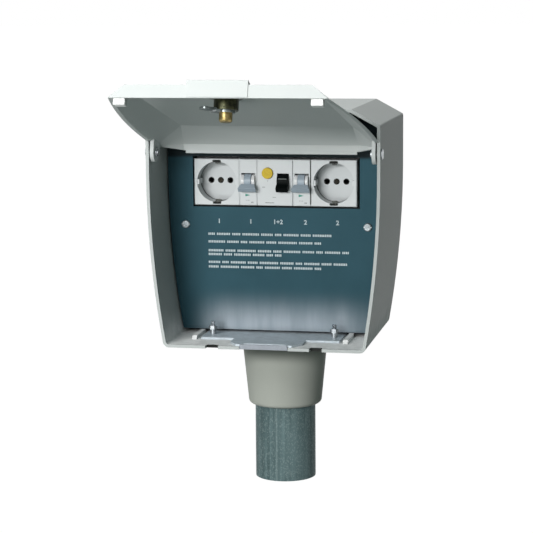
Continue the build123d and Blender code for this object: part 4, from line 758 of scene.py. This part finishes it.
# Cable notches
# Two notches in the floor's front edge, through which the heater cables leave. A dark bar on the
# inner end of each is painted shade.
NOTCH_X = 0.0500
NOTCH_DEPTH = 0.0060
NOTCH_WIDTH = 0.0121
FLOOR_THICKNESS = 0.0030

notch_shade = [
    printed_bar(x - NOTCH_WIDTH / 2, NOTCH_WIDTH, FLOOR_THICKNESS, box_foot, rim_front + NOTCH_DEPTH)
    for x in (-NOTCH_X, NOTCH_X)
]
settle(joined(notch_shade), "notch_shade", "box", "box_plastic", slot_shadow)

# Breakers
# Two one-module breakers. A slate-grey lever with a wide handle swings between two glossy white
# cheeks, a small green mark and a printed line stand below it, and seams part the devices. The
# seam before the second socket is a dark bar of painted shade.
LEVER_SLATE = (0.345, 0.41, 0.465)
LEVER_DEEP = (0.30, 0.36, 0.415)
CHEEK_WHITE = (0.74, 0.745, 0.75)
CHEEK_SHADE = (0.66, 0.67, 0.675)
CHEEK_EDGE = 0.0006
LEVER_EDGE = 0.0005
PIVOT_Y = -0.043
PIVOT_Z = 0.302
HANDLE_ROOT = 0.0078  # from the pivot to where the handle widens
HANDLE_NARROW = 0.84
HANDLE_WIDE = 1.12
SIDE_SHARE = 0.6  # of half the lever's width, beyond which its sides lie
MARK_GREEN = (0.006, 0.155, 0.115)
MARK_LIME = (0.03, 0.30, 0.21)
MARK_INK = (0.11, 0.125, 0.125)
MARK_LEFT = 0.0056  # from the breaker's left side
MARK_DROP = 0.0136  # below the pivot
MARK_WIDTH = 0.0050
MARK_HEIGHT = 0.0027
MARK_CORNER = 0.00025
RATING_BARS = (  # from the left side, width, height, below the pivot
    (0.0112, 0.0026, 0.0011, 0.0212),
    (0.0062, 0.0036, 0.0005, 0.0189),
)
SEAM_HEIGHT = 0.0438
SEAM_LIGHT_WIDTH = 0.0007
SEAM_SHADE_WIDTH = 0.0008
SEAM_SINK = 0.0001

lever_slate = moulded_device("lever_slate", LEVER_SLATE, LEVER_DEEP, roughness=0.36)
cheek_gloss = moulded_device("cheek_gloss", CHEEK_WHITE, CHEEK_SHADE, roughness=0.18)
mark_green = Finish("mark_green", MARK_GREEN, roughness=0.5)
mark_green.toned(mark_green.noise(1900), MARK_GREEN, MARK_LIME)
mark_green.give("Roughness", 0.4 + 0.2 * mark_green.noise(1500))
mark_ink = Finish("mark_ink", MARK_INK, roughness=0.55)
mark_ink.toned(mark_ink.noise(2500).above(0.4, 0.7), MARK_INK, DEVICE_SHADE)


def flared(lever):
    """Draws the handle in towards the pivot and widens its tip."""
    points = lever.data.vertices
    middle = sum(point.co.x for point in points) / len(points)
    half = max(abs(point.co.x - middle) for point in points)
    reach = {
        point.index: Vector((point.co.y - PIVOT_Y, point.co.z - PIVOT_Z)).length
        for point in points if abs(point.co.x - middle) > half * SIDE_SHARE
    }
    roots = [index for index in reach if reach[index] < HANDLE_ROOT]
    tips = [index for index in reach if reach[index] >= HANDLE_ROOT]
    choose(lever)
    for chosen, factor in ((roots, HANDLE_NARROW), (tips, HANDLE_WIDE)):
        bpy.ops.object.mode_set(mode="EDIT")
        bpy.ops.mesh.select_all(action="DESELECT")
        bpy.ops.object.mode_set(mode="OBJECT")
        for index in chosen:
            lever.data.vertices[index].select = True
        bpy.ops.object.mode_set(mode="EDIT")
        bpy.ops.transform.resize(value=(factor, 1, 1), center_override=(middle, PIVOT_Y, PIVOT_Z))
        bpy.ops.object.mode_set(mode="OBJECT")
    return lever


def pointer_mark(left, width, height, foot, front):
    """A flat triangle that points to the right, from a three-sided cylinder."""
    bpy.ops.object.select_all(action="DESELECT")
    bpy.ops.mesh.primitive_cylinder_add(vertices=3, radius=1, depth=1)
    mark = bpy.context.active_object
    mark.rotation_euler = (pi / 2, 0, 0)
    bpy.ops.object.transform_apply(location=True, rotation=True, scale=True)
    tip = max(vertex.co.z for vertex in mark.data.vertices)
    low = min(vertex.co.z for vertex in mark.data.vertices)
    mark.data.transform(Matrix.Rotation(pi / 2, 4, "Y"))
    mark.scale = (width / (tip - low), PRINT_THICKNESS, height / (2 * sin(pi / 3)))
    mark.location = (left - low * width / (tip - low), front - PRINT_THICKNESS / 2, foot + height / 2)
    bpy.ops.object.transform_apply(location=True, rotation=True, scale=True)
    return round_corners(mark, MARK_CORNER)


for breaker in ("breaker_a", "breaker_b"):
    body, cheeks, lever = f"{breaker}_body", f"{breaker}_cheeks", f"{breaker}_lever"
    left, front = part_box(body)[0][:2]
    finished(body, f"{breaker}_case", "box", "device_plastic", device_plastic, edge=DEVICE_EDGE)
    finished(cheeks, f"{breaker}_cheek_pair", "box", "device_plastic", cheek_gloss,
             edge=CHEEK_EDGE, segments=3)
    handle = flared(rounded_copy(lever, LEVER_EDGE, segments=3))
    settle(handle, f"{breaker}_handle", lever, "lever_grey", lever_slate, lever)
    mark_foot = PIVOT_Z - MARK_DROP - MARK_HEIGHT / 2
    mark = pointer_mark(left + MARK_LEFT, MARK_WIDTH, MARK_HEIGHT, mark_foot, front)
    settle(mark, f"{breaker}_pointer", "box", "device_plastic", mark_green)
    rating = [
        printed_bar(left + start, width, height, PIVOT_Z - drop, front)
        for start, width, height, drop in RATING_BARS
    ]
    settle(joined(rating), f"{breaker}_rating", "box", "device_plastic", mark_ink)

seam_foot = PIVOT_Z - SEAM_HEIGHT / 2
for right_device, seam_width, finish in (
    ("breaker_a", SEAM_LIGHT_WIDTH, insert_plastic),
    ("rcd", SEAM_LIGHT_WIDTH, insert_plastic),
    # This seam is a dark bar of painted shade in the gap.
    ("socket_b", SEAM_SHADE_WIDTH, slot_shadow),
):
    seam_x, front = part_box(f"{right_device}_body")[0][:2]
    seam_bar = printed_bar(seam_x - seam_width / 2, seam_width, SEAM_HEIGHT, seam_foot, front + SEAM_SINK)
    settle(seam_bar, f"{right_device}_seam", "box", "device_plastic", finish)

# Residual-current device
# A two-module device with a black lever, on which a pale line is moulded, and a domed yellow
# test button with its mark below.
LEVER_BLACK = (0.002, 0.003, 0.003)
LEVER_SOOT = (0.004, 0.006, 0.006)
BUTTON_YELLOW = (0.60, 0.44, 0.014)
BUTTON_AMBER = (0.50, 0.32, 0.012)
BUTTON_EDGE = 0.0004
LINE_GREY = (0.24, 0.265, 0.255)
LINE_DEEP = (0.17, 0.19, 0.18)
LINE_ANGLE = radians(24)
LINE_RADIUS = 0.00702
LINE_WIDTH = 0.0086
LINE_HEIGHT = 0.0007
TEST_HEIGHT = 0.0016
TEST_DROP = 0.0031  # below the button

lever_black = moulded_device("lever_black", LEVER_BLACK, LEVER_SOOT, roughness=0.45, specular=0.04)
lever_line = moulded_device("lever_line", LINE_GREY, LINE_DEEP, roughness=0.4)
button_yellow = Finish("button_yellow", BUTTON_YELLOW, roughness=0.32, specular=0.2)
speckle = button_yellow.noise(900, detail=3.0, roughness=0.7)
button_yellow.toned(speckle.above(0.42, 0.68), BUTTON_YELLOW, BUTTON_AMBER)
button_yellow.give("Roughness", 0.25 + 0.2 * speckle)
button_yellow.relief(speckle, depth=0.00004)
finished("rcd_body", "rcd_case", "box", "device_plastic", device_plastic, edge=DEVICE_EDGE)
finished("rcd_lever", "rcd_handle", "rcd_lever", "lever_black", lever_black, edge=LEVER_EDGE, segments=3)
finished("rcd_test_button", "test_button_cap", "test_button", "button_yellow", button_yellow,
         edge=BUTTON_EDGE, segments=3)

lever_low, lever_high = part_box("rcd_lever")
line_left = (lever_low[0] + lever_high[0]) / 2 - LINE_WIDTH / 2
line = printed_bar(line_left, LINE_WIDTH, LINE_HEIGHT, PIVOT_Z - LINE_HEIGHT / 2, PIVOT_Y - LINE_RADIUS)
pivot = Matrix.Translation((0, PIVOT_Y, PIVOT_Z))
line.data.transform(pivot @ Matrix.Rotation(-LINE_ANGLE, 4, "X") @ pivot.inverted())
settle(line, "rcd_lever_line", "rcd_lever", "lever_black", lever_line)

rcd_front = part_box("rcd_body")[0][1]
button_low, button_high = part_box("rcd_test_button")
button_middle = (button_low[0] + button_high[0]) / 2
rcd_bars = (  # from the button's middle, width, height, foot
    (-0.0052, 0.0026, 0.0006, button_low[2] - 0.0085),
    (0.0048, 0.0034, 0.0006, PIVOT_Z - 0.0158),
    (-0.0024, 0.0088, 0.0008, PIVOT_Z - 0.0212),
)
rcd_marks = [printed_text("T", TEST_HEIGHT, button_middle, button_low[2] - TEST_DROP, rcd_front)]
for start, width, height, foot in rcd_bars:
    rcd_marks.append(printed_bar(button_middle + start, width, height, foot, rcd_front))
settle(joined(rcd_marks), "rcd_marks", "box", "device_plastic", mark_ink)

# Rail and terminals
# Behind the cover plate: a top-hat rail with end stops on two posts, the devices' clamp screws, a
# five-pole terminal block and a brass earth bar.
BLOCK_GREY = (0.36, 0.37, 0.365)
BLOCK_DEEP = (0.29, 0.30, 0.298)

terminal_plastic = moulded_device("terminal_plastic", BLOCK_GREY, BLOCK_DEEP, roughness=0.5)
for name, edge, slot, finish in (
    ("din_rail", 0.0002, "bright_zinc", bright_zinc),
    ("rail_screws", 0.0003, "bright_zinc", bright_zinc),
    ("rail_stops", 0.0004, "device_plastic", device_plastic),
    ("device_clamp_screws", 0.0002, "nickel", nickel),
    ("terminal_block", 0.0005, "terminal_plastic", terminal_plastic),
    ("terminal_screws", 0.0002, "nickel", nickel),
    ("earth_bar", 0.0004, "brass", brass),
    ("earth_screws", 0.0003, "brass", brass),
):
    finished(name, f"{name}_finished", "box", slot, finish, edge)

# Floor and light
# A wide pale floor at the post's lower end. A wide soft lamp stands in front at the left, a high
# one fills in, a small low one lights the undersides, and a weak one hangs overhead. Faint light
# comes from all round.
AIM = Vector((0, -0.06, 0.29))
LAMPS = (  # name, place, size, power
    ("key", Vector((-0.75, -2.48, 0.89)), (1.3, 0.4), 44),
    ("high", Vector((-0.45, -1.24, 1.36)), (1.1, 1.1), 16),
    ("low", Vector((-0.30, -1.35, 0.05)), (0.9, 0.09), 3.4),
    ("top", Vector((-0.45, 0.1, 1.6)), (0.9, 0.9), 7),
)
AMBIENT_COLOUR = (0.66, 1.0, 0.93)
AMBIENT = 0.058
FLOOR_WIDTH = 40
FLOOR_Z = -0.0005
FLOOR_GREY = (0.085, 0.115, 0.108)
FLOOR_PALE = (0.10, 0.135, 0.125)
FLOOR_WHITE_SHARE = 0.92
FLOOR_WHITE = 1.09
WHITE = (1, 1, 1, 1)

bpy.ops.object.select_all(action="DESELECT")
bpy.ops.mesh.primitive_plane_add(size=FLOOR_WIDTH, location=(0, 0, FLOOR_Z))
floor = bpy.context.active_object
floor.name = "floor"


def seen_directly(shader):
    """1 on rays from the camera, off metal or through glass, and 0 on the rays that give light."""
    camera_ray, glossy_ray, glass_ray = [
        shader.node("ShaderNodeLightPath", {}, {}, f"Is {kind} Ray")
        for kind in ("Camera", "Glossy", "Transmission")
    ]
    return camera_ray.or_more(glossy_ray).or_more(glass_ray)


floor_finish = Finish("floor", FLOOR_GREY, roughness=0.9)
floor_finish.toned(floor_finish.noise(3, detail=3.0), FLOOR_GREY, FLOOR_PALE)
floor_white = floor_finish.node("ShaderNodeEmission", {}, {"Color": WHITE, "Strength": FLOOR_WHITE}, 0)
floor_plain = Field(floor_finish, floor_finish.surface.outputs[0])
floor_share = seen_directly(floor_finish) * FLOOR_WHITE_SHARE
floor_inputs = {0: floor_share, 1: floor_plain, 2: floor_white}
floor_mix = floor_finish.node("ShaderNodeMixShader", {}, floor_inputs, 0)
floor_finish.connect(floor_finish.tree.nodes["Material Output"].inputs["Surface"], floor_mix)
floor.data.materials.append(floor_finish.material)

world = bpy.data.worlds.new("studio")
bpy.context.scene.world = world
world.use_nodes = True
surround = Shader(world.node_tree)
sky_inputs = {"Color": (*AMBIENT_COLOUR, 1), "Strength": AMBIENT}
sky = surround.node("ShaderNodeBackground", {}, sky_inputs, 0)
backdrop = surround.node("ShaderNodeBackground", {}, {"Color": WHITE, "Strength": 1.0}, 0)
around = surround.node("ShaderNodeMixShader", {}, {0: seen_directly(surround), 1: sky, 2: backdrop}, 0)
surround.connect(surround.tree.nodes["World Output"].inputs["Surface"], around)

for name, place, size, power in LAMPS:
    lamp = bpy.data.objects.new(name, bpy.data.lights.new(name, "AREA"))
    bpy.context.scene.collection.objects.link(lamp)
    lamp.data.shape = "RECTANGLE"
    lamp.data.size, lamp.data.size_y = size
    lamp.data.energy = power
    lamp.visible_camera = False
    lamp.location = place
    lamp.rotation_euler = (AIM - place).to_track_quat("-Z", "Y").to_euler()
